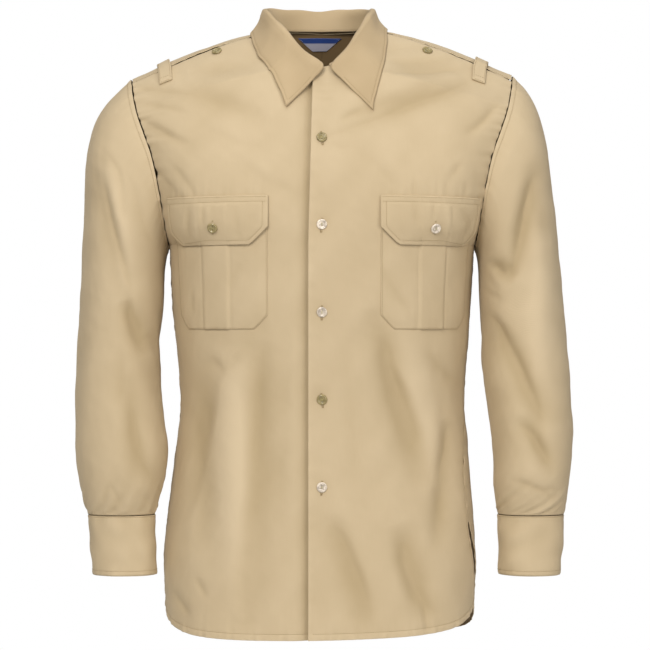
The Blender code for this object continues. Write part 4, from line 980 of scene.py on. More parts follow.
def cast_polyester(name, pale, deep, cloud_scale):
    """Polished polyester with soft clouds through it."""
    made, tree, shader = finish_of(
        name, Roughness=0.16, IOR=1.54, Coat_Weight=0.35, Coat_Roughness=0.08)
    spot = add(tree, "TexCoord")
    cloud = add(tree, "TexNoise", {
        "Vector": spot.outputs["Object"], "Scale": cloud_scale, "Detail": 2.0, "Distortion": 1.2})
    shade = add(tree, "ValToRGB", {0: cloud.outputs[0]})
    shade.color_ramp.elements[0].position = 0.36
    shade.color_ramp.elements[0].color = linear(deep)
    shade.color_ramp.elements[1].position = 0.62
    shade.color_ramp.elements[1].color = linear(pale)
    tree.links.new(shade.outputs[0], shader.inputs["Base Color"])
    return made


pearl_button = cast_polyester("cast_polyester_shell", "#F2E9DC", "#B9B0A6", 190.0)
khaki_button = cast_polyester("cast_polyester_khaki", "#A3966C", "#857A55", 150.0)

# %% Woven satin label
LABEL_FOOT_LEVEL = LABEL_TOP - LABEL_DEPTH * 0.42


def satin_label():
    """Blue satin with a pale foot. Its floats run across and give it a gloss."""
    made, tree, shader = finish_of(
        "woven_satin_label", Roughness=0.38, IOR=1.5, Sheen_Weight=0.2, Anisotropic=0.4)
    spot = add(tree, "TexCoord")
    place = add(tree, "SeparateXYZ", {0: spot.outputs["Object"]})
    above = add(tree, "MapRange", {
        0: place.outputs[2], 1: LABEL_FOOT_LEVEL - 0.0006, 2: LABEL_FOOT_LEVEL + 0.0006})
    colour = add(tree, "Mix", {0: above.outputs[0], 6: linear("#B9BAD0"), 7: linear("#2C4A96")},
                 data_type="RGBA")
    tree.links.new(colour.outputs[2], shader.inputs["Base Color"])
    grain = add(tree, "UVMap", uv_map="grain")
    ribs = add(tree, "TexWave", {"Vector": grain.outputs[0], "Scale": 420.0},
               bands_direction="Y")
    bump = add(tree, "Bump", {"Height": ribs.outputs[0], "Strength": 0.6, "Distance": 0.00008})
    tree.links.new(bump.outputs[0], shader.inputs["Normal"])
    return made


label_finish = satin_label()
label_edge, _, _ = finish_of("satin_label_edge", Base_Color=linear("#E9E7E6"), Roughness=0.45)

# %% [markdown]
# ## From a grid to a piece of cloth
# Every cut piece is a grid of points. It becomes a sheet with its grain as UV in metres, so the
# weave runs straight along it, and a solidify modifier gives it its thickness: one layer for the
# body, two for the collar, cuffs and flaps. The width of its cut is worked out on the smooth
# form, before it is creased.

# %% Making a piece
ONE_LAYER = 0.0006
TWO_LAYERS = 0.0014
# Painted shade and light: troughs are drawn deeper and ridges paler by this much.
CREASE_SHADE_TONE = 90.0        # shift of the cloth's tone for each metre of height, clipped below


def run_lengths(grid, axis):
    """Distance along a grid's rows (axis 1) or columns (axis 0) from their first point."""
    pieces_long = np.linalg.norm(np.diff(grid, axis=axis), axis=2)
    pad = [(0, 0), (0, 0)]
    pad[axis] = (1, 0)
    return np.cumsum(np.pad(pieces_long, pad), axis=axis)


def grid_mesh(name, grids, heights, closed):
    """A mesh of one or more grids, with its grain as UV and its crease height, for painted shade and
    light, as an attribute.
    """
    points, faces, grain, crease_shade_heights = [], [], [], []
    for grid, height in zip(grids, heights):
        faces += grid_faces(*grid.shape[:2], closed, len(points))
        points += grid.reshape(-1, 3).tolist()
        crease_shade_heights.append(height.reshape(-1))
        ring = np.concatenate([grid, grid[:, :1]], axis=1) if closed else grid
        flat = np.stack([run_lengths(ring, 1), run_lengths(ring, 0)], axis=-1)
        corners = [flat[:-1, :-1], flat[:-1, 1:], flat[1:, 1:], flat[1:, :-1]]
        grain.append(np.stack(corners, axis=2).reshape(-1))
    mesh = bpy.data.meshes.new(name)
    mesh.from_pydata(points, [], faces)
    mesh.uv_layers.new(name="grain").uv.foreach_set("vector", np.concatenate(grain))
    # The crease heights become painted shade in the troughs and painted light on the ridges.
    painted_crease_shade = 0.5 + np.clip(np.concatenate(crease_shade_heights) * CREASE_SHADE_TONE, -0.45, 0.45)
    mesh.attributes.new("crease", "FLOAT", "POINT").data.foreach_set("value", painted_crease_shade)
    mesh.shade_smooth()
    return mesh


def cloth_piece(name, grids, heights, finish, node, cut, thickness=ONE_LAYER, closed=False,
                inside=None):
    """A cut piece of cloth in place of its plain node. cut holds its grids before creasing."""
    mesh = grid_mesh(name, grids, heights, closed)
    made = bpy.data.objects.new(name, mesh)
    bpy.context.scene.collection.objects.link(made)
    mesh.materials.append(finish)
    wall = made.modifiers.new("layers", "SOLIDIFY")
    wall.thickness = thickness
    wall.offset = 0
    # The inner face takes the darker inside poplin, which paints the shade inside the shirt.
    if inside is not None:
        mesh.materials.append(inside)
        wall.material_offset = 1
    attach(made, "root")
    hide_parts(node)
    width = max(run_lengths(np.concatenate([g, g[:, :1]], axis=1) if closed else g, 1).max()
                for g in cut)
    width *= len(cut)
    return made

# %% [markdown]
# ## Stitches
# A row of stitches is what the eye looks for along an edge. Each stitch is a small bead of thread,
# 2.3 mm long with a gap of 0.6 mm, lying half sunk on the cloth. Beads are cheap enough to sew
# every seam with them, and unlike a drawn line they catch the light.

# %% Sewing
STITCH_LENGTH = 0.0023
STITCH_PITCH = 0.0029
STITCH_RADIUS = 0.00027
BEAD_SIDES = 5


def side_line(grid, side, distance, trim=(0.0, 0.0)):
    """A line that runs along one side of a grid at a distance from it, trimmed at both ends."""
    turned = {"left": grid, "right": grid[:, ::-1],
              "foot": grid.transpose(1, 0, 2), "top": grid[::-1].transpose(1, 0, 2)}[side]
    line = np.array([at_length(row, distance) for row in turned])
    known = lengths(line)
    return at_length(line, np.linspace(trim[0], known[-1] - trim[1], len(line)))


def bead(start, end, normal, radius):
    """Points and faces of one bead of thread between two points."""
    run = end - start
    across = np.cross(run, normal)
    across = across / max(np.linalg.norm(across), 1e-9) * radius
    up = normal * radius
    points = [start, end]
    for share in (0.22, 0.78):
        for k in range(BEAD_SIDES):
            turn = 2 * math.pi * k / BEAD_SIDES
            points.append(start + run * share + across * math.cos(turn) + up * math.sin(turn))
    faces = []
    for k in range(BEAD_SIDES):
        one, two = 2 + k, 2 + (k + 1) % BEAD_SIDES
        faces += [(0, two, one), (one, two, two + BEAD_SIDES, one + BEAD_SIDES),
                  (1, one + BEAD_SIDES, two + BEAD_SIDES)]
    return points, faces


def beads_object(name, beads, finish):
    """One object of many beads."""
    points, faces = [], []
    for spots, sides in beads:
        faces += [tuple(len(points) + k for k in side) for side in sides]
        points += [tuple(p) for p in spots]
    mesh = bpy.data.meshes.new(name)
    mesh.from_pydata(points, [], faces)
    mesh.shade_smooth()
    mesh.materials.append(finish)
    made = bpy.data.objects.new(name, mesh)
    bpy.context.scene.collection.objects.link(made)
    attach(made, "root")
    return made


def sew(name, lines, tree, lift, finish=thread_finish, radius=STITCH_RADIUS):
    """Rows of stitches along lines that lie on a surface."""
    beads = []
    for line in lines:
        total = lengths(line)[-1]
        for start in np.arange(STITCH_PITCH / 2, total - STITCH_LENGTH, STITCH_PITCH):
            ends = at_length(line, np.array([start, start + STITCH_LENGTH]))
            _, normal, _, _ = tree.find_nearest(Vector(ends.mean(axis=0)))
            ends = laid_on(ends, tree, lift)
            beads.append(bead(ends[0], ends[1], np.array(normal), radius))
    print(f"{name}: {len(beads)} stitches")
    return beads_object(name, beads, finish)


# %% [markdown]
# ## Fronts
# The left front laps over the right one. On the real shirt each is one piece of cloth with its
# edge turned in, a narrow hem and a curved armhole. The grid follows the cloth: its rows are
# levels of the body and its columns run out from the front edge. The hem is a raised band with a
# groove where it is sewn, the armhole and the pocket draw small puckers, and each button pulls
# the cloth down round it.

# %% Rows and columns of a front
ROW_PITCH = 0.0030
HEM_ROWS = (0.0, 0.0010, 0.0035, 0.0062, 0.0074, 0.0082, 0.0094, 0.0120)
HEM_DEPTH = 0.0078
NECK_ROUND = 0.012        # height over which the front edge turns into the neckline


def steps(low, high, pitch):
    """Evenly spaced values from low to high, about pitch apart."""
    return np.linspace(low, high, max(2, round(abs(high - low) / pitch) + 1))


def edge_shares(count, fine=(0.004, 0.010, 0.017)):
    """Shares from 0 to 1 that lie closer together at both ends."""
    return np.concatenate([[0.0], fine, np.linspace(0.027, 0.973, count),
                           1 - np.array(fine[::-1]), [1.0]])


def along_front(hand, levels, shares):
    """Points of a front, each point's distance from the centre line, and from its outer seam."""
    rows, centre, seam = [], [], []
    for level in levels:
        lap = overlap(level) * np.clip((FRONT_NECK - level) / NECK_ROUND, 0, 1)
        reach = front_reach(hand, level) - edge_trim(level)
        start = SEAM_GAP / 2 - lap
        distances = start + shares * (reach - start)
        points = front_points(hand, distances, level)
        if level >= 0.0:
            points[:, 1:] -= SEAM_GAP
        rows.append(points)
        centre.append(distances)
        seam.append(reach - distances)
    return np.array(rows), np.array(centre), np.array(seam)


def turned_alike(grid, fields):
    """The grid turned to face out, and its fields turned with it."""
    faced = outward(grid)
    flipped = not np.array_equal(faced[0, 0], grid[0, 0])
    return faced, [field[:, ::-1] if flipped else field for field in fields]

# %% What sewing does to a front
def inside_of(distance, edge, softness):
    """1 on the near side of an edge and 0 beyond it, with a soft step between."""
    return 1 / (1 + np.exp(np.clip((distance - edge) / softness, -40, 40)))


def hem_relief(above, along, seed):
    """A turned hem: a raised band, the groove of its stitches, and the ripples they draw."""
    band = 0.0005 * inside_of(above, HEM_DEPTH, 0.0005)
    groove = -0.0003 * np.exp(-((above - HEM_DEPTH) / 0.0012) ** 2)
    return band + groove + 0.0009 * ripples(along, 0.013, seed) * np.exp(-above / 0.012)


def button_dimples(centre, levels, depth=0.0011, width=0.011):
    """The cloth drawn down round each front button."""
    total = 0
    for number in range(FRONT_BUTTONS):
        level = FRONT_BUTTON_TOP - FRONT_BUTTON_PITCH * number
        total = total - depth * np.exp(-(centre ** 2 + (levels - level) ** 2) / width ** 2)
    return total


def front_relief(hand, centre, seam, levels):
    """The small relief of a front's hem, seams, buttons and front edge."""
    level = levels[:, None] + np.zeros_like(centre)
    relief = hem_relief(level - FRONT_HEM, centre, 10 + hand)
    high = np.clip((level - UNDERARM) / 0.03, 0, 1)
    relief += ripples(level, 0.019, 20 + hand) * np.exp(-seam / 0.013) * (0.0004 + 0.0009 * high)
    inner, outer = POCKET_INNER[hand], POCKET_INNER[hand] + POCKET_WIDTH
    over_pocket = np.clip((centre - inner) / 0.01, 0, 1) * np.clip((outer - centre) / 0.01, 0, 1)
    from_flap = np.abs(level - FLAP_TOP - 0.003)
    relief += 0.0006 * ripples(centre, 0.013, 30 + hand) * np.exp(-from_flap / 0.010) * over_pocket
    lap = np.vectorize(overlap)(levels)[:, None]
    if hand > 0:
        relief += button_dimples(centre, level)
        relief += 0.0016 * np.exp(-(centre + lap) / 0.004)
        relief += 0.0004 * ripples(level, 0.021, 40) * np.exp(-(centre + lap) / 0.010)
    else:
        relief -= LAP_DROP * np.clip(2 - np.abs(centre) / LAP_REACH, 0, 1)
        relief -= 0.0024 * np.exp(-((centre - lap - 0.0025) / 0.0045) ** 2)
    return relief

# %% Both fronts
def front_levels():
    """The levels of a front's rows, closest together in its hem."""
    return np.concatenate([
        FRONT_HEM + np.array(HEM_ROWS), steps(FRONT_HEM + 0.015, UNDERARM, ROW_PITCH),
        steps(UNDERARM, FRONT_NECK, ROW_PITCH)[1:], np.linspace(FRONT_NECK, 0.0, 28)[1:]])


FRONT_TABLES = ((BODY_FRONT_FOLDS, BODY_FRONT_CREASES), (BODY_BACK_FOLDS, BODY_BACK_CREASES))
fronts, front_cuts, front_pieces = {}, {}, {}
for hand, side in ((-1, "right"), (1, "left")):
    levels = front_levels()
    cut, centre, seam = along_front(hand, levels, edge_shares(96))
    cut, (centre, seam) = turned_alike(cut, [centre, seam])
    relief = front_relief(hand, centre, seam, levels)
    fronts[hand], height = dressed(cut, *FRONT_TABLES, seed=100, extra=relief)
    front_cuts[hand] = cut
    front_pieces[hand] = cloth_piece(
        f"front_{side}_cloth", [fronts[hand]], [height], body_poplin, f"front_{side}", [cut],
        inside=shaded_inside_poplin)

# %% [markdown]
# ## Back and yoke
# The back is cut in one piece and meets a yoke that runs over the shoulders to the front. The
# photo doesn't show them from behind, so they get creases of the same kind and depth as the
# front's: a few pulls from the armholes, folds where the waist draws in, and long soft ones below.

# %% Back
def back_levels():
    """The levels of the back's rows."""
    return np.concatenate([
        BACK_HEM + np.array(HEM_ROWS), steps(BACK_HEM + 0.015, UNDERARM, 0.0036),
        steps(UNDERARM, YOKE_SEAM, ROW_PITCH)[1:]])


def both_halves(levels, shares):
    """Rows that run from the wearer's right edge across the centre to the left edge."""
    halves = [np.array([back_row(hand, level, shares) for level in levels]) for hand in (-1, 1)]
    return outward(np.concatenate([halves[0][:, ::-1], halves[1][:, 1:]], axis=1))


levels = back_levels()
back_cut = both_halves(levels, 1 - edge_shares(60)[::-1])
from_edge = np.minimum(run_lengths(back_cut, 1), run_lengths(back_cut[:, ::-1], 1)[:, ::-1])
level = levels[:, None] + np.zeros(back_cut.shape[:2])
relief = hem_relief(level - BACK_HEM, run_lengths(back_cut, 1), 50)
relief += ripples(level, 0.019, 51) * np.exp(-from_edge / 0.013) * 0.0008
relief += ripples(run_lengths(back_cut, 1), 0.017, 52) * np.exp((level - YOKE_SEAM) / 0.012) * 0.0006
back, height = dressed(back_cut, *FRONT_TABLES, seed=200, extra=relief)
cloth_piece("back_cloth", [back], [height], body_poplin, "back", [back_cut], inside=shaded_inside_poplin)

# %% Yoke
def yoke_half(hand, shares):
    """Half of the yoke, from its back seam over the shoulder to its front seam."""
    across = steps(YOKE_SEAM + SEAM_GAP * 1.5, BACK_NECK, ROW_PITCH)
    over = np.linspace(BACK_NECK, SHOULDER_TURN - 0.0004, 34)[1:]
    rows = [back_row(hand, level, shares) for level in np.concatenate([across, over])]
    return outward(np.array(rows))


yoke_cuts = [yoke_half(hand, edge_shares(64)) for hand in (1, -1)]
yokes, heights = [], []
for number, cut in enumerate(yoke_cuts):
    edge = np.minimum(run_lengths(cut, 0), run_lengths(cut[::-1], 0)[::-1])
    relief = 0.0005 * ripples(run_lengths(cut, 1), 0.016, 60 + number) * np.exp(-edge / 0.010)
    relief += 0.0004 * inside_of(edge, 0.006, 0.0006)
    grid, height = dressed(cut, *FRONT_TABLES, seed=300, extra=relief)
    yokes.append(grid)
    heights.append(height)
cloth_piece(
    "yoke_cloth", yokes, heights, body_poplin, "yoke", yoke_cuts, inside=shaded_inside_poplin)

body_tree = surface_tree([(g, False) for g in [fronts[-1], fronts[1], back, *yokes]])

# %% [markdown]
# ## Sleeves
# A sleeve is a tube from the armhole, whose outline it takes, down to the cuff, into which its
# fullness is gathered. Its deepest creases are at the elbow and where the arm leaves the body.
# The photo's sleeves hang a little differently, so each has its own creases.

# %% Grid of a sleeve
def ring_steps():
    """Where a sleeve's rings lie, closest together at the armhole and at the cuff."""
    start = np.array([0.0, 0.0016, 0.0038, 0.0062, 0.0080, 0.0098, 0.0125]) * 0.9
    return np.concatenate([start, np.linspace(0.0145, 0.985, 168), [0.990, 0.995, 1.0]])


# Sleeves and cuffs
def ring_outline(out, inward, z_out, z_in, half_depth, mid_y, hand, around):
    """A round outline between an outer and an inner line. It starts inside and runs by the front."""
    centre = np.array([hand * (out + inward) / 2, mid_y, (z_out + z_in) / 2])
    reach = np.array([hand * (out - inward) / 2, 0, (z_out - z_in) / 2])
    turn = around * 2 * math.pi
    swell = 1 + 0.035 * np.sin(2 * turn) ** 2
    depth = -half_depth * np.sin(turn) * swell
    return centre - reach * (np.cos(turn) * swell)[:, None] + depth[:, None] * np.array([0, 1, 0])


def start_values(name):
    """The first row of SLEEVE, in the order that ring_outline takes."""
    row = dict(zip(SLEEVE_COLUMNS, SLEEVE[0]))
    return (row[f"{name}_out"], row[f"{name}_in"], row["z_out"], row["z_in"],
            row["half_depth"], row["mid_y"])


def sleeve_cut(hand, rings, columns=144):
    """A sleeve's smooth form, ring by ring."""
    name = "right" if hand < 0 else "left"
    stations = np.arange(len(SLEEVE))
    around = np.arange(columns) / columns
    first = np.array([armhole(share * ARMHOLE_ROWS, hand) for share in around])
    start = ring_outline(*start_values(name), hand, around)
    grid = []
    for step in rings:
        station = (len(SLEEVE) - 1) * step ** 1.08
        read = {c: smooth(stations, SLEEVE[:, i], station) for i, c in enumerate(SLEEVE_COLUMNS)}
        ring = ring_outline(
            read[f"{name}_out"], read[f"{name}_in"], read["z_out"], read["z_in"],
            read["half_depth"], read["mid_y"], hand, around)
        own = np.clip(1 - station / ROUND_BY_STATION, 0, 1) ** 1.5
        grid.append(ring + (first - start) * own)
    grid = np.array(grid)
    run = grid[4] - grid[0]
    run /= np.linalg.norm(run, axis=1, keepdims=True)
    gap = SLEEVE_START + SLEEVE_UNDERARM_START * np.cos(around * 2 * math.pi).clip(0)
    near = np.exp(-run_lengths(grid, 0) / 0.010)[..., None]
    return outward_tube(grid + run * gap[:, None] * near)

# %% Both sleeves
SLEEVE_TABLES = (
    (SLEEVE_FRONT_FOLDS, SLEEVE_FRONT_CREASES), (SLEEVE_BACK_FOLDS, SLEEVE_BACK_CREASES))
PRESSED_BAND = 0.0068     # width of the band that is pressed flat beside the armhole
SLEEVE_OFF_BODY = 0.0022  # least distance of the sleeve from the body
sleeves = {}
for hand, side in ((-1, "right"), (1, "left")):
    cut = sleeve_cut(hand, ring_steps())
    down = run_lengths(cut, 0)
    up = down[-1] - down
    around = run_lengths(cut, 1)
    relief = 0.0005 * inside_of(down, PRESSED_BAND, 0.0006)
    relief -= 0.0003 * np.exp(-((down - PRESSED_BAND) / 0.0014) ** 2)
    relief += 0.0010 * ripples(around, 0.018, 70 + hand) * np.exp(-down / 0.016)
    relief += 0.0022 * ripples(around, 0.027, 80 + hand) * np.exp(-up / 0.024) * np.clip(
        up / 0.006, 0, 1)
    strength = np.clip(down / 0.10, 0, 1) * np.clip(up / 0.05, 0.25, 1)
    grid, height = dressed(cut, *SLEEVE_TABLES, seed=400 + hand, closed=True,
                           strength=strength, extra=relief)
    grid[8:] = kept_off(grid[8:], body_tree, SLEEVE_OFF_BODY)
    sleeves[hand] = grid
    cloth_piece(f"sleeve_{side}_cloth", [grid], [height], body_poplin, f"sleeve_{side}", [cut],
                closed=True, inside=shaded_inside_poplin)

# %% [markdown]
# ## Sleeve plackets and cuffs
# The slit above each cuff is bound with a strip. The cuff is two layers with a stitched edge, and
# its end laps over its start at the back of the wrist, where its button is. Neither the strip nor
# the lap shows in the photo: both follow the usual cut.

# %% Plackets
def placket_grid(hand, sleeve_tree, rows=9):
    """The strip that binds the slit at the back of a sleeve, from above its cuff upwards."""
    name = "right" if hand < 0 else "left"
    strip = []
    for level in np.linspace(CUFF_TOP + 0.004, CUFF_TOP + PLACKET_RISE, rows):
        out = column(SLEEVE[::-1], SLEEVE_COLUMNS, f"{name}_out", level)
        inner = column(SLEEVE[::-1], SLEEVE_COLUMNS, f"{name}_in", level, "z_in")
        depth = column(SLEEVE[::-1], SLEEVE_COLUMNS, "half_depth", level)
        middle_y = column(SLEEVE[::-1], SLEEVE_COLUMNS, "mid_y", level)
        across = (out + inner) / 2 + np.linspace(-0.5, 0.5, 4) * PLACKET_WIDTH
        strip.append([(hand * x, middle_y + depth, level) for x in across])
    return laid_on(np.array(strip), sleeve_tree, PLACKET_LIFT)


PLACKET_LIFT = 0.0012
sleeve_trees = {hand: surface_tree([(sleeves[hand], True)]) for hand in (-1, 1)}
for hand, side in ((-1, "right"), (1, "left")):
    strip = placket_grid(hand, sleeve_trees[hand], rows=44)
    fine = np.array([at_length(row, np.linspace(0, lengths(row)[-1], 12)) for row in strip])
    normals = normals_of(fine)
    away = (fine - sleeves[hand].mean(axis=(0, 1))) * (1, 1, 0)
    fine = fine if (normals * away).sum() > 0 else fine[:, ::-1]
    cloth_piece(f"sleeve_placket_{side}_cloth", [fine], [np.zeros(fine.shape[:2])], body_poplin,
                f"sleeve_placket_{side}", [fine])
    tree = surface_tree([(fine, False)])
    lines = [side_line(fine, edge, 0.0018, (0.002, 0.002)) for edge in ("left", "right", "top")]
    sew(f"placket_stitches_{side}", lines, tree, 0.0004)

# %% Cuffs
def cuff_grid(hand, rows=4, columns=20):
    """A cuff's points: a band whose end laps over its start at the back of the wrist."""
    name = "right" if hand < 0 else "left"
    turn = np.linspace(CUFF_START, 1 + CUFF_END, columns)
    grid = []
    for z in np.linspace(CUFF_TOP - SEAM_GAP, CUFF_BOTTOM, rows):
        read = {c: smooth(-CUFFS[:, 0], CUFFS[:, i], -z) for i, c in enumerate(CUFF_COLUMNS)}
        ring = ring_outline(
            read[f"{name}_out"], read[f"{name}_in"], z, z, read["half_depth"], read["mid_y"],
            hand, turn)
        centre = ring.mean(axis=0)
        outer = np.clip((turn - CUFF_LAP_START) / CUFF_LAP_STEP, 0, 1)[:, None]
        away = (ring - centre) / np.linalg.norm(ring - centre, axis=1, keepdims=True)
        grid.append(ring + away * outer * CUFF_LAP_LIFT)
    return outward_tube(np.array(grid), False)


CUFF_SEAM = 0.0060        # how far in from its edge a cuff is stitched
CUFF_TOP_SEAM = 0.0018
cuffs = {}
for hand, side in ((-1, "right"), (1, "left")):
    cut = cuff_grid(hand, rows=34, columns=170)
    down, up = run_lengths(cut, 0), run_lengths(cut[::-1], 0)[::-1]
    across = run_lengths(cut, 1)
    edge = np.minimum(np.minimum(down, up), np.minimum(across, across.max() - across))
    relief = -0.0003 * np.exp(-((edge - CUFF_SEAM) / 0.0016) ** 2)
    relief -= 0.0006 * np.exp(-edge / 0.0012)
    relief += 0.0005 * ripples(across, 0.021, 90 + hand) * np.exp(-down / 0.012)
    relief += 0.0003 * ripples(across, 0.012, 95 + hand) * np.exp(-up / 0.008)
    relief += swells(cut, 0.030, 0.0005, 96 + hand)
    cuffs[hand] = lifted(cut, relief)
    cloth_piece(f"cuff_{side}_cloth", [cuffs[hand]], [relief], body_poplin, f"cuff_{side}",
                [cut], TWO_LAYERS)
    tree = surface_tree([(cuffs[hand], False)])
    lines = [side_line(cuffs[hand], edge, CUFF_SEAM, (CUFF_SEAM, CUFF_SEAM))
             for edge in ("top", "left", "right")]
    lines.append(side_line(cuffs[hand], "foot", CUFF_TOP_SEAM, (0.002, 0.002)))
    sew(f"cuff_stitches_{side}", lines, tree, 0.0008)

# %% [markdown]
# ## Pockets and flaps
# A patch pocket with a box pleat and cut corners is sewn flat on each front, and a shaped flap
# of two layers hangs over its mouth. The pocket is sewn down at its edges and puffs a little in
# between. The flap stands off the pocket, more towards its foot, which gives it its dark edge.

# %% Pockets
# Pockets


def patch_cut(hand, top, bottom, chamfer, inset, row_pitch, count):
    """A patch in the form of the front, with each point's distance from its edge and its side."""
    inner, outer = POCKET_INNER[hand] + inset, POCKET_INNER[hand] + POCKET_WIDTH - inset
    levels = np.concatenate([
        [bottom, bottom + 0.001], steps(bottom + 0.0022, top - 0.0022, row_pitch),
        [top - 0.001, top]])
    shares = edge_shares(count, (0.008, 0.017))
    rows, where = [], []
    for level in levels:
        cut = max(0.0, chamfer - (level - bottom))
        distances = inner + cut + shares * (outer - inner - 2 * cut)
        rows.append(front_points(hand, distances, level))
        where.append(distances)
    where = np.array(where)
    level = levels[:, None] + np.zeros_like(where)
    grid, (where, level) = turned_alike(np.array(rows), [where, level])
    across, back_across = run_lengths(grid, 1), run_lengths(grid[:, ::-1], 1)[:, ::-1]
    edge = np.minimum(np.minimum(across, back_across), np.minimum(level - bottom, top - level))
    return grid, where, level, edge


FLAT_LIFT = 0.0009        # a layer sewn flat on another
PATCH_TABLES = ((BODY_FRONT_FOLDS, BODY_FRONT_CREASES + FLAP_AND_POCKET_CREASES), FRONT_TABLES[1])
pockets = {}
for hand, side in ((-1, "right"), (1, "left")):
    cut, where, level, edge = patch_cut(
        hand, POCKET_TOP, POCKET_BOTTOM, POCKET_CHAMFER, 0.001, 0.0022, 70)
    middle = POCKET_INNER[hand] + POCKET_WIDTH / 2
    from_fold = PLEAT_WIDTH / 2 - np.abs(where - middle)
    relief = FLAT_LIFT + 0.0014 * (1 - np.exp(-edge / 0.009))
    relief += 0.0013 * inside_of(0.0, from_fold, 0.0007)
    relief -= 0.0006 * np.exp(-((from_fold + 0.0016) / 0.0016) ** 2)
    relief += 0.0005 * ripples(where, 0.014, 110 + hand) * np.exp(-np.abs(edge) / 0.008)
    pockets[hand], height = dressed(cut, *PATCH_TABLES, seed=100, extra=relief)
    pockets[hand] = kept_off(pockets[hand], surface_tree([(fronts[hand], False)]), FLAT_LIFT)
    cloth_piece(f"pocket_{side}_cloth", [pockets[hand]], [height - relief], body_poplin,
                f"pocket_{side}", [cut])
    tree = surface_tree([(pockets[hand], False)])
    lines = [side_line(pockets[hand], edge_name, 0.0016, (0.0, 0.0))
             for edge_name in ("left", "right", "foot")]
    sew(f"pocket_stitches_{side}", lines, tree, 0.0004)

# %% Flaps
FLAP_SEAM = 0.0068        # how far in from its edge a flap is stitched
FLAP_TOP_SEAMS = (0.0018, 0.0075)
FLAP_OFF_POCKET = 0.0015  # least distance of the flap from its pocket
flaps = {}
for hand, side in ((-1, "right"), (1, "left")):
    cut, where, level, edge = patch_cut(
        hand, FLAP_TOP, FLAP_TOP - FLAP_DEPTH, FLAP_CHAMFER, 0.0, 0.0016, 84)
    down = (FLAP_TOP - level) / FLAP_DEPTH
    inward = np.abs(where - POCKET_INNER[hand])
    relief = 0.0016 + 0.0030 * down ** 0.7
    relief += 0.0022 * down * np.exp(-inward / 0.030)
    relief += 0.0006 * (1 - np.exp(-edge / 0.004))
    relief -= 0.0005 * np.exp(-((edge - FLAP_SEAM) / 0.0016) ** 2)
    relief += 0.0004 * ripples(where, 0.010, 120 + hand) * np.exp(-(FLAP_TOP - level) / 0.006)
    relief += 0.0004 * ripples(where, 0.012, 130 + hand) * down ** 4
    flaps[hand], height = dressed(cut, *PATCH_TABLES, seed=100, extra=relief)
    flaps[hand] = kept_off(flaps[hand], surface_tree([(pockets[hand], False)]), FLAP_OFF_POCKET)
    cloth_piece(f"flap_{side}_cloth", [flaps[hand]], [height - relief], body_poplin,
                f"flap_{side}", [cut], TWO_LAYERS)
    tree = surface_tree([(flaps[hand], False)])
    lines = [side_line(flaps[hand], edge_name, FLAP_SEAM, (FLAP_SEAM, FLAP_SEAM))
             for edge_name in ("left", "right", "foot")]
    lines += [side_line(flaps[hand], "top", inset, (0.001, 0.001)) for inset in FLAP_TOP_SEAMS]
    sew(f"flap_stitches_{side}", lines, tree, 0.0008)

# %% [markdown]
# ## Collar
# The collar is cut as a stand and a fall in one turned wall: up from the neckline, over a soft
# roll, and down to two points. Its rows are few in the frame, so smooth curves through them
# give the fine ones. Its edge is stitched 4.5 mm in.

# %% Collar form
# Collar
def collar_grid(body_tree, columns=33):
    """The collar, from its seam up the stand, over its fold and down to the fall's edge."""
    share = np.linspace(0, 1, columns)
    side = np.where(share < 0.5, -1, 1)
    along_neck = np.abs(share - 0.5) * 2
    seam = np.array([
        neckline(NECKLINE_BACK * (1 - a), s)[0] for a, s in zip(along_neck, side)])
    end = np.clip((along_neck - COLLAR_END) / (1 - COLLAR_END), 0, 1)
    seam[:, 0] += (side * COLLAR_END_SPREAD + COLLAR_END_SHIFT) * end
    inside = NECK_MIDDLE - seam
    inside[:, 2] = 0
    inside /= np.linalg.norm(inside, axis=1, keepdims=True)
    seam = seam + inside * COLLAR_SEAM_IN * (1 - end)[:, None]
    over_front = (side > 0) * (along_neck > 0.85)
    seam[:, 2] += COLLAR_SEAM_UP + 0.0010 * end + 0.0012 * over_front
    fold = smooth(np.linspace(0, 1, len(FOLD_LINE)), FOLD_LINE, share)
    edge = smooth(np.linspace(0, 1, len(FALL_EDGE)), FALL_EDGE, share)
    edge = laid_on(edge, body_tree, FALL_EDGE_LIFT)
    up = np.array([0, 0, 1.0])
    rows = [seam]
    stand_top = fold + inside * ROLL - up * ROLL * 1.33
    for t in (0.5, 1.0):
        rows.append(seam + (stand_top - seam) * t)
    rows.append(fold + inside * ROLL * 0.55 - up * ROLL * 0.27)
    rows.append(fold - inside * ROLL * 0.55 - up * ROLL * 0.27)
    shoulder = fold - inside * ROLL * 1.4 - up * ROLL * 1.83
    for t in (0.0, 0.25, 0.5, 0.75, 1.0):
        swell = -math.sin(math.pi * t) * FALL_HOLLOW
        rows.append(shoulder + (edge - shoulder) * t - inside * swell + up * swell * 0.5)
    grid = np.array(rows)
    grid[5:] = kept_off(grid[5:], body_tree, FALL_LIFT)
    return grid


COLLAR_SEAM = 0.0045      # how far in from its edge the collar is stitched
COLLAR_FOOT_SEAM = 0.0025
COLLAR_OFF_BODY = 0.0016
COLLAR_ROWS = 56
FALL_ROWS = 34            # the row from which the fall hangs free
FALL_EDGE_LIFT = 0.0027
FALL_LIFT = 0.0026


def finer_rows(grid, count):
    """Smooth curves through the rows of a grid, read at many more rows."""
    knots = run_lengths(grid, 0).mean(axis=1)
    fine = smooth(knots, grid.reshape(len(grid), -1), np.linspace(0, knots[-1], count))
    return fine.reshape(count, -1, 3)


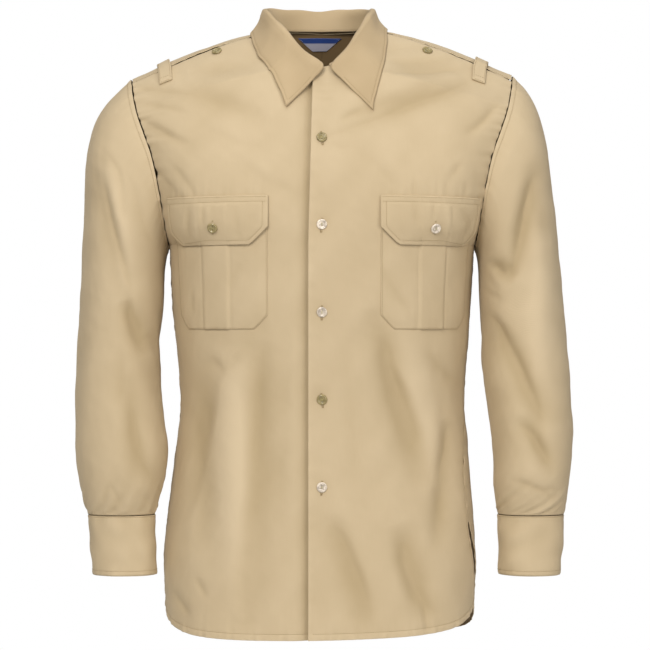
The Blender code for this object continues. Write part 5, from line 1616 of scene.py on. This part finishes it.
cut = finer_rows(collar_grid(body_tree, columns=190), COLLAR_ROWS)
up = run_lengths(cut[::-1], 0)[::-1]
across = run_lengths(cut, 1)
ends = np.minimum(across, across[:, -1:] - across)
edge = np.minimum(up, ends)
relief = -0.0004 * np.exp(-((edge - COLLAR_SEAM) / 0.0013) ** 2)
relief -= 0.0006 * np.exp(-edge / 0.0010)
relief += swells(cut, 0.040, 0.0005, 140)
normals = normals_of(cut)
outside = 1 if (normals[-8] * (cut[-8] - cut[-8].mean(axis=0))).sum() > 0 else -1
collar = cut + normals * (relief * outside)[..., None]
collar[FALL_ROWS:] = kept_off(collar[FALL_ROWS:], body_tree, COLLAR_OFF_BODY)
if outside < 0:
    cut, collar, relief = cut[:, ::-1], collar[:, ::-1], relief[:, ::-1]
cloth_piece("collar_cloth", [collar], [relief], collar_poplin, "collar", [cut], TWO_LAYERS)
collar_tree = surface_tree([(collar, False)])
lines = [side_line(collar, "top", COLLAR_SEAM, (COLLAR_SEAM, COLLAR_SEAM))]
leaf = collar[30:]
lines += [side_line(leaf, edge_name, COLLAR_SEAM, (0.004, COLLAR_SEAM))
          for edge_name in ("left", "right")]
lines.append(side_line(collar, "foot", COLLAR_FOOT_SEAM, (0.012, 0.012)))
sew("collar_stitches", lines, collar_tree, 0.0008)

# %% [markdown]
# ## Shoulder loops and neck label
# A short bar of doubled cloth is sewn down at both ends of each shoulder. The label hangs inside
# the back of the neck, narrow at its foot, with pale woven edges and nothing on it.

# %% Loops
# Shoulder loops
def loop_grid(hand, body_tree, columns=13, rows=5):
    """A bar of cloth over the shoulder, sewn down at its ends and free in between."""
    share = np.linspace(0, 1, columns)
    path = smooth(np.linspace(0, 1, len(LOOP_PATH)), LOOP_PATH, share)
    half = np.array([LOOP_WIDTH / 2, 0, -LOOP_WIDTH * LOOP_SLOPE])
    strip = np.array([path + half * side for side in np.linspace(-1, 1, rows)]) * (hand, 1, 1)
    lift = LOOP_END_LIFT + LOOP_STAND * np.sin(math.pi * share)[None, :, None] ** 0.5
    flat = laid_on(strip, body_tree, 0.0)
    over = laid_on(strip, body_tree, 1.0) - flat
    return flat + over * lift


for hand, side in ((-1, "right"), (1, "left")):
    bar = loop_grid(hand, body_tree, columns=46, rows=14)
    if (normals_of(bar)[:, :, 2]).sum() < 0:
        bar = bar[:, ::-1]
    cloth_piece(f"shoulder_loop_{side}_cloth", [bar], [np.zeros(bar.shape[:2])], body_poplin,
                f"shoulder_loop_{side}", [bar], TWO_LAYERS)
    tree = surface_tree([(bar, False)])
    lines = [side_line(bar, edge, 0.0016, (0.002, 0.002)) for edge in ("left", "right", "top", "foot")]
    lines += [side_line(bar, edge, 0.0085, (0.002, 0.002)) for edge in ("left", "right")]
    sew(f"loop_stitches_{side}", lines, tree, 0.0008)

# %% Label
def label_grid(yoke_tree, columns=5, rows=4):
    """The label inside the back of the neck, hanging from the collar's seam and narrowing down."""
    strip = []
    for share in np.linspace(0, 1, rows):
        half = (LABEL_FOOT_WIDTH + (LABEL_TOP_WIDTH - LABEL_FOOT_WIDTH) * share) / 2
        level = LABEL_TOP - LABEL_DEPTH * (1 - share)
        strip.append([
            (LABEL_CENTRE + half * side, 0.070, level) for side in np.linspace(-1, 1, columns)])
    return laid_on(np.array(strip), yoke_tree, -LABEL_LIFT)


LABEL_LIFT = 0.0010
yoke_tree = surface_tree([(g, False) for g in yokes])
label = label_grid(yoke_tree, columns=40, rows=18)
made = cloth_piece("neck_label_cloth", [label], [np.zeros(label.shape[:2])], label_finish,
                   "neck_label", [label], 0.0004)
tree = surface_tree([(label, False)])
lines = [side_line(label, edge, 0.0009) for edge in ("left", "right")]
edges = sew("label_edges", lines, tree, -0.0003, label_edge, 0.0006)


# %% [markdown]
# ## Seams of the body
# The sleeves are sewn in with a row of stitches 6 mm from the seam, the side seams and the yoke's
# seams with one row each, and the hem nearly 8 mm up. Each row runs on the fine cloth itself.

# %% Rows of stitches along the seams
ARMHOLE_SEAM = 0.0062     # each row's distance from its seam
SIDE_SEAM_ROW = 0.0050
YOKE_SEAM_ROW = 0.0022
for hand, side in ((-1, "right"), (1, "left")):
    ring = sleeves[hand]
    closed_ring = np.concatenate([ring, ring[:, :1]], axis=1)
    sew(f"armhole_stitches_{side}", [side_line(closed_ring, "foot", ARMHOLE_SEAM)],
        sleeve_trees[hand], 0.0004)
    tree = surface_tree([(fronts[hand], False)])
    seam_side = "right" if abs(fronts[hand][40, -1, 0]) > 0.1 else "left"
    lines = [side_line(fronts[hand], "foot", HEM_DEPTH, (0.004, 0.004)),
             side_line(fronts[hand][:160], seam_side, SIDE_SEAM_ROW, (0.010, 0.004))]
    sew(f"front_stitches_{side}", lines, tree, 0.0004)
    sew(f"yoke_front_stitches_{side}",
        [side_line(yokes[(1 - hand) // 2], "top", YOKE_SEAM_ROW, (0.004, 0.004))],
        yoke_tree, 0.0004)
back_tree = surface_tree([(back, False)])
sew("back_stitches", [side_line(back, "foot", HEM_DEPTH, (0.004, 0.004))], back_tree, 0.0004)
sew("yoke_back_stitches", [side_line(g, "foot", YOKE_SEAM_ROW, (0.001, 0.004)) for g in yokes],
    yoke_tree, 0.0004)

# %% [markdown]
# ## Buttons and buttonholes
# The buttons are 13 mm across with a rolled rim, a sunk middle and two holes one above the other,
# with thread across between them. Three of those in front, and the one on the left flap, are like
# shell; the others are khaki. Each is turned from a profile on a fine round grid, so that the
# holes are real hollows. A buttonhole is two close rows of short stitches.

# %% A button
BUTTON_HOLE_APART = 0.0019        # from the button's middle to the middle of a hole
BUTTON_HOLE_RADIUS = 0.00085


def button_height(radius, across, up):
    """Height of a button's face at each point: rolled rim, sunk middle, two holes."""
    share = radius / BUTTON_RADIUS
    rim = 1.0 - 0.55 * np.clip((share - 0.82) / 0.18, 0, 1) ** 2
    sunk = 0.42 * inside_of(share, 0.62, 0.035)
    height = BUTTON_THICK * (rim - sunk)
    for side in (-1, 1):
        hole = np.hypot(across, up - side * BUTTON_HOLE_APART) / BUTTON_HOLE_RADIUS
        height = height - BUTTON_THICK * 0.45 * inside_of(hole, 0.85, 0.10)
    return height


def make_button(node, tree, finish, lift, tilt):
    """A button on its cloth, standing where its plain node stands."""
    low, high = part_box(node)
    place, normal, _, _ = tree.find_nearest((Vector(low) + Vector(high)) / 2)
    rings, sides = 19, 44
    radii = BUTTON_RADIUS * np.concatenate([np.linspace(0, 0.93, rings - 4), [0.96, 0.98, 0.995, 1.0]])
    turns = np.arange(sides) * 2 * math.pi / sides
    radius = radii[:, None] + np.zeros(sides)
    across, up = radius * np.cos(turns), radius * np.sin(turns)
    face = np.stack([across, up, button_height(radius, across, up)], axis=-1)
    back_radii = BUTTON_RADIUS * np.array([0.97, 0.86, 0.5, 0.0])
    heights = BUTTON_THICK * np.array([0.22, 0.0, 0.0, 0.0])
    behind = np.stack([back_radii[:, None] * np.cos(turns), back_radii[:, None] * np.sin(turns),
                       heights[:, None] + np.zeros((4, sides))], axis=-1)
    grid = np.concatenate([face, behind])
    mesh = bpy.data.meshes.new(node + "_turned")
    faces = grid_faces(len(grid), sides, True)
    mesh.from_pydata(grid.reshape(-1, 3).tolist(), [], [f[::-1] for f in faces])
    mesh.shade_smooth()
    mesh.materials.append(finish)
    made = bpy.data.objects.new(node + "_turned", mesh)
    bpy.context.scene.collection.objects.link(made)
    upright = Vector((0, 0, 1))
    sideways = upright.cross(normal).normalized()
    frame_axes = np.array([sideways, normal.cross(sideways), normal]).T
    frame_axes = frame_axes @ np.array([
        [math.cos(tilt), -math.sin(tilt), 0], [math.sin(tilt), math.cos(tilt), 0], [0, 0, 1]])
    base = np.array(place) + np.array(normal) * lift
    spots = grid.reshape(-1, 3) @ frame_axes.T + base
    mesh.vertices.foreach_set("co", spots.reshape(-1))
    mesh.update()
    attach(made, "root")
    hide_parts(node)
    ends = np.array([(x, side * BUTTON_HOLE_APART, BUTTON_THICK * (0.30 if abs(side) > 1 else 0.62))
                     for x in (-0.0003, 0.0003) for side in (-1.05, 0.95)]).reshape(2, 2, 3)
    beads = []
    for pair in ends:
        middle = pair.mean(axis=0) + (0, 0, BUTTON_THICK * 0.05)
        pair = pair.copy()
        pair[:, 2] = middle[2]
        start, end = (pair @ frame_axes.T + base)
        beads.append(bead(start, end, np.array(normal), 0.00034))
    beads_object(node + "_thread", beads, dark_thread)
    return np.array(place), np.array(normal), frame_axes

# %% All buttons, and the buttonholes under them
def buttonhole(name, place, axes, tree, length=0.0165, flat=False):
    """A worked buttonhole: two rows of short stitches side by side, and a bar at each end."""
    along, aside = (axes[:, 0], axes[:, 1]) if flat else (axes[:, 1], axes[:, 0])
    beads = []
    for offset in steps(-length / 2, length / 2, 0.00062):
        for side in (-1, 1):
            start = place + along * offset + aside * side * 0.00025
            ends = laid_on(np.array([start, start + aside * side * 0.0012]), tree, 0.0004)
            beads.append(bead(ends[0], ends[1], axes[:, 2], 0.00033))
    for offset in (-length / 2, length / 2):
        for step in (-1, 0, 1):
            middle = place + along * (offset + step * 0.0005)
            ends = laid_on(np.array([middle - aside * 0.0014, middle + aside * 0.0014]), tree, 0.0005)
            beads.append(bead(ends[0], ends[1], axes[:, 2], 0.00033))
    beads_object(name, beads, thread_finish)


left_tree = surface_tree([(fronts[1], False)])
flap_trees = {hand: surface_tree([(flaps[hand], False)]) for hand in (-1, 1)}
cuff_trees = {hand: surface_tree([(cuffs[hand], False)]) for hand in (-1, 1)}
ONE_LAYER_STAND = ONE_LAYER / 2 + 0.0004
TWO_LAYER_STAND = TWO_LAYERS / 2 + 0.0004
for number in range(1, FRONT_BUTTONS + 1):
    finish = pearl_button if number in (2, 3, 5) else khaki_button
    place, _, axes = make_button(
        f"front_button_{number}", left_tree, finish, ONE_LAYER_STAND, 0.12 * math.sin(number * 2))
    buttonhole(f"front_buttonhole_{number}", place - axes[:, 1] * 0.0012, axes, left_tree)
for hand, side in ((-1, "right"), (1, "left")):
    place, _, axes = make_button(
        f"pocket_button_{side}", flap_trees[hand], pearl_button if hand > 0 else khaki_button,
        TWO_LAYER_STAND, 0.1 * hand)
    buttonhole(f"pocket_buttonhole_{side}", place, axes, flap_trees[hand])
    place, _, axes = make_button(
        f"shoulder_button_{side}", body_tree, khaki_button, ONE_LAYER_STAND, 0.4 * hand)
    place, _, axes = make_button(
        f"cuff_button_{side}", cuff_trees[hand], khaki_button, TWO_LAYER_STAND, 0.0)
    buttonhole(f"cuff_buttonhole_{side}", place, axes, cuff_trees[hand], flat=True)

# %% [markdown]
# ## Light, floor and camera
# The shirt is lit as a shop photographs one: a large soft light in front and above, a weaker one
# on the other side, and little from behind, so its sides fall off into a deeper tone. The
# background is plain white and the floor a pale disc below. The camera stands 3.2 m in front with
# a long lens.

# %% Floor
FLOOR_LEVEL = -0.95
bpy.ops.mesh.primitive_circle_add(vertices=96, radius=0.95, fill_type="NGON",
                                  location=(0, 0, FLOOR_LEVEL))
floor = bpy.context.object
floor.name = "studio_floor"
floor_finish, _, _ = finish_of("pale_studio_floor", Base_Color=linear("#EFEEEC"), Roughness=0.8)
floor.data.materials.append(floor_finish)

# %% White background and a weak light from all round
world = bpy.data.worlds.new("white_studio")
world.use_nodes = True
bpy.context.scene.world = world
sky = world.node_tree
sky.nodes.clear()
rays = add(sky, "LightPath")
shown = add(sky, "Background", {"Color": linear("#FFFFFF"), "Strength": 1.0})
lighting = add(sky, "Background", {"Color": linear("#FFF9F0"), "Strength": 0.30})
chosen = add(sky, "MixShader", {0: rays.outputs["Is Camera Ray"], 1: lighting.outputs[0],
                                2: shown.outputs[0]})
add(sky, "OutputWorld", {0: chosen.outputs[0]})

# %% Soft lights
def soft_light(name, place, target, size, power, colour):
    """A square soft box that faces a point."""
    lamp = bpy.data.lights.new(name, "AREA")
    lamp.shape = "SQUARE"
    lamp.size = size
    lamp.energy = power
    lamp.color = linear(colour)[:3]
    made = bpy.data.objects.new(name, lamp)
    bpy.context.scene.collection.objects.link(made)
    made.location = place
    made.rotation_euler = (Vector(target) - Vector(place)).to_track_quat("-Z", "Y").to_euler()
    return made


soft_light("key_light", (-0.7, -2.6, 1.1), (0, 0, -0.33), 1.3, 52.0, "#FFF8EE")
soft_light("fill_light", (1.5, -2.4, 0.1), (0, 0, -0.38), 1.5, 24.0, "#FFF8EE")
soft_light("top_light", (0.1, -0.4, 1.9), (0, 0, -0.2), 1.2, 14.0, "#FFFFFF")

# %% Camera
camera_data = bpy.data.cameras.new("front_camera")
camera_data.sensor_width = 36.0
FRAME_WIDTH = 0.8125      # what the picture shows across, at the shoulders' plane
camera_data.lens = 36.0 * VIEW_DISTANCE / FRAME_WIDTH
camera = bpy.data.objects.new("front_camera", camera_data)
bpy.context.scene.collection.objects.link(camera)
camera.location = (VIEW_X, -VIEW_DISTANCE, VIEW_Z)
camera.rotation_euler = (math.pi / 2, 0, 0)
bpy.context.scene.camera = camera
bpy.context.scene.view_settings.view_transform = "Standard"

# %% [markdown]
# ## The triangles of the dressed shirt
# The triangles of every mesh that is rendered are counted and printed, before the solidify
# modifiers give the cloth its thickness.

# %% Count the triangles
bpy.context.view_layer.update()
triangles = sum(len(p.vertices) - 2 for o in bpy.data.objects if o.type == "MESH"
                and not o.hide_render for p in o.data.polygons)
print("triangles before thickness", triangles)
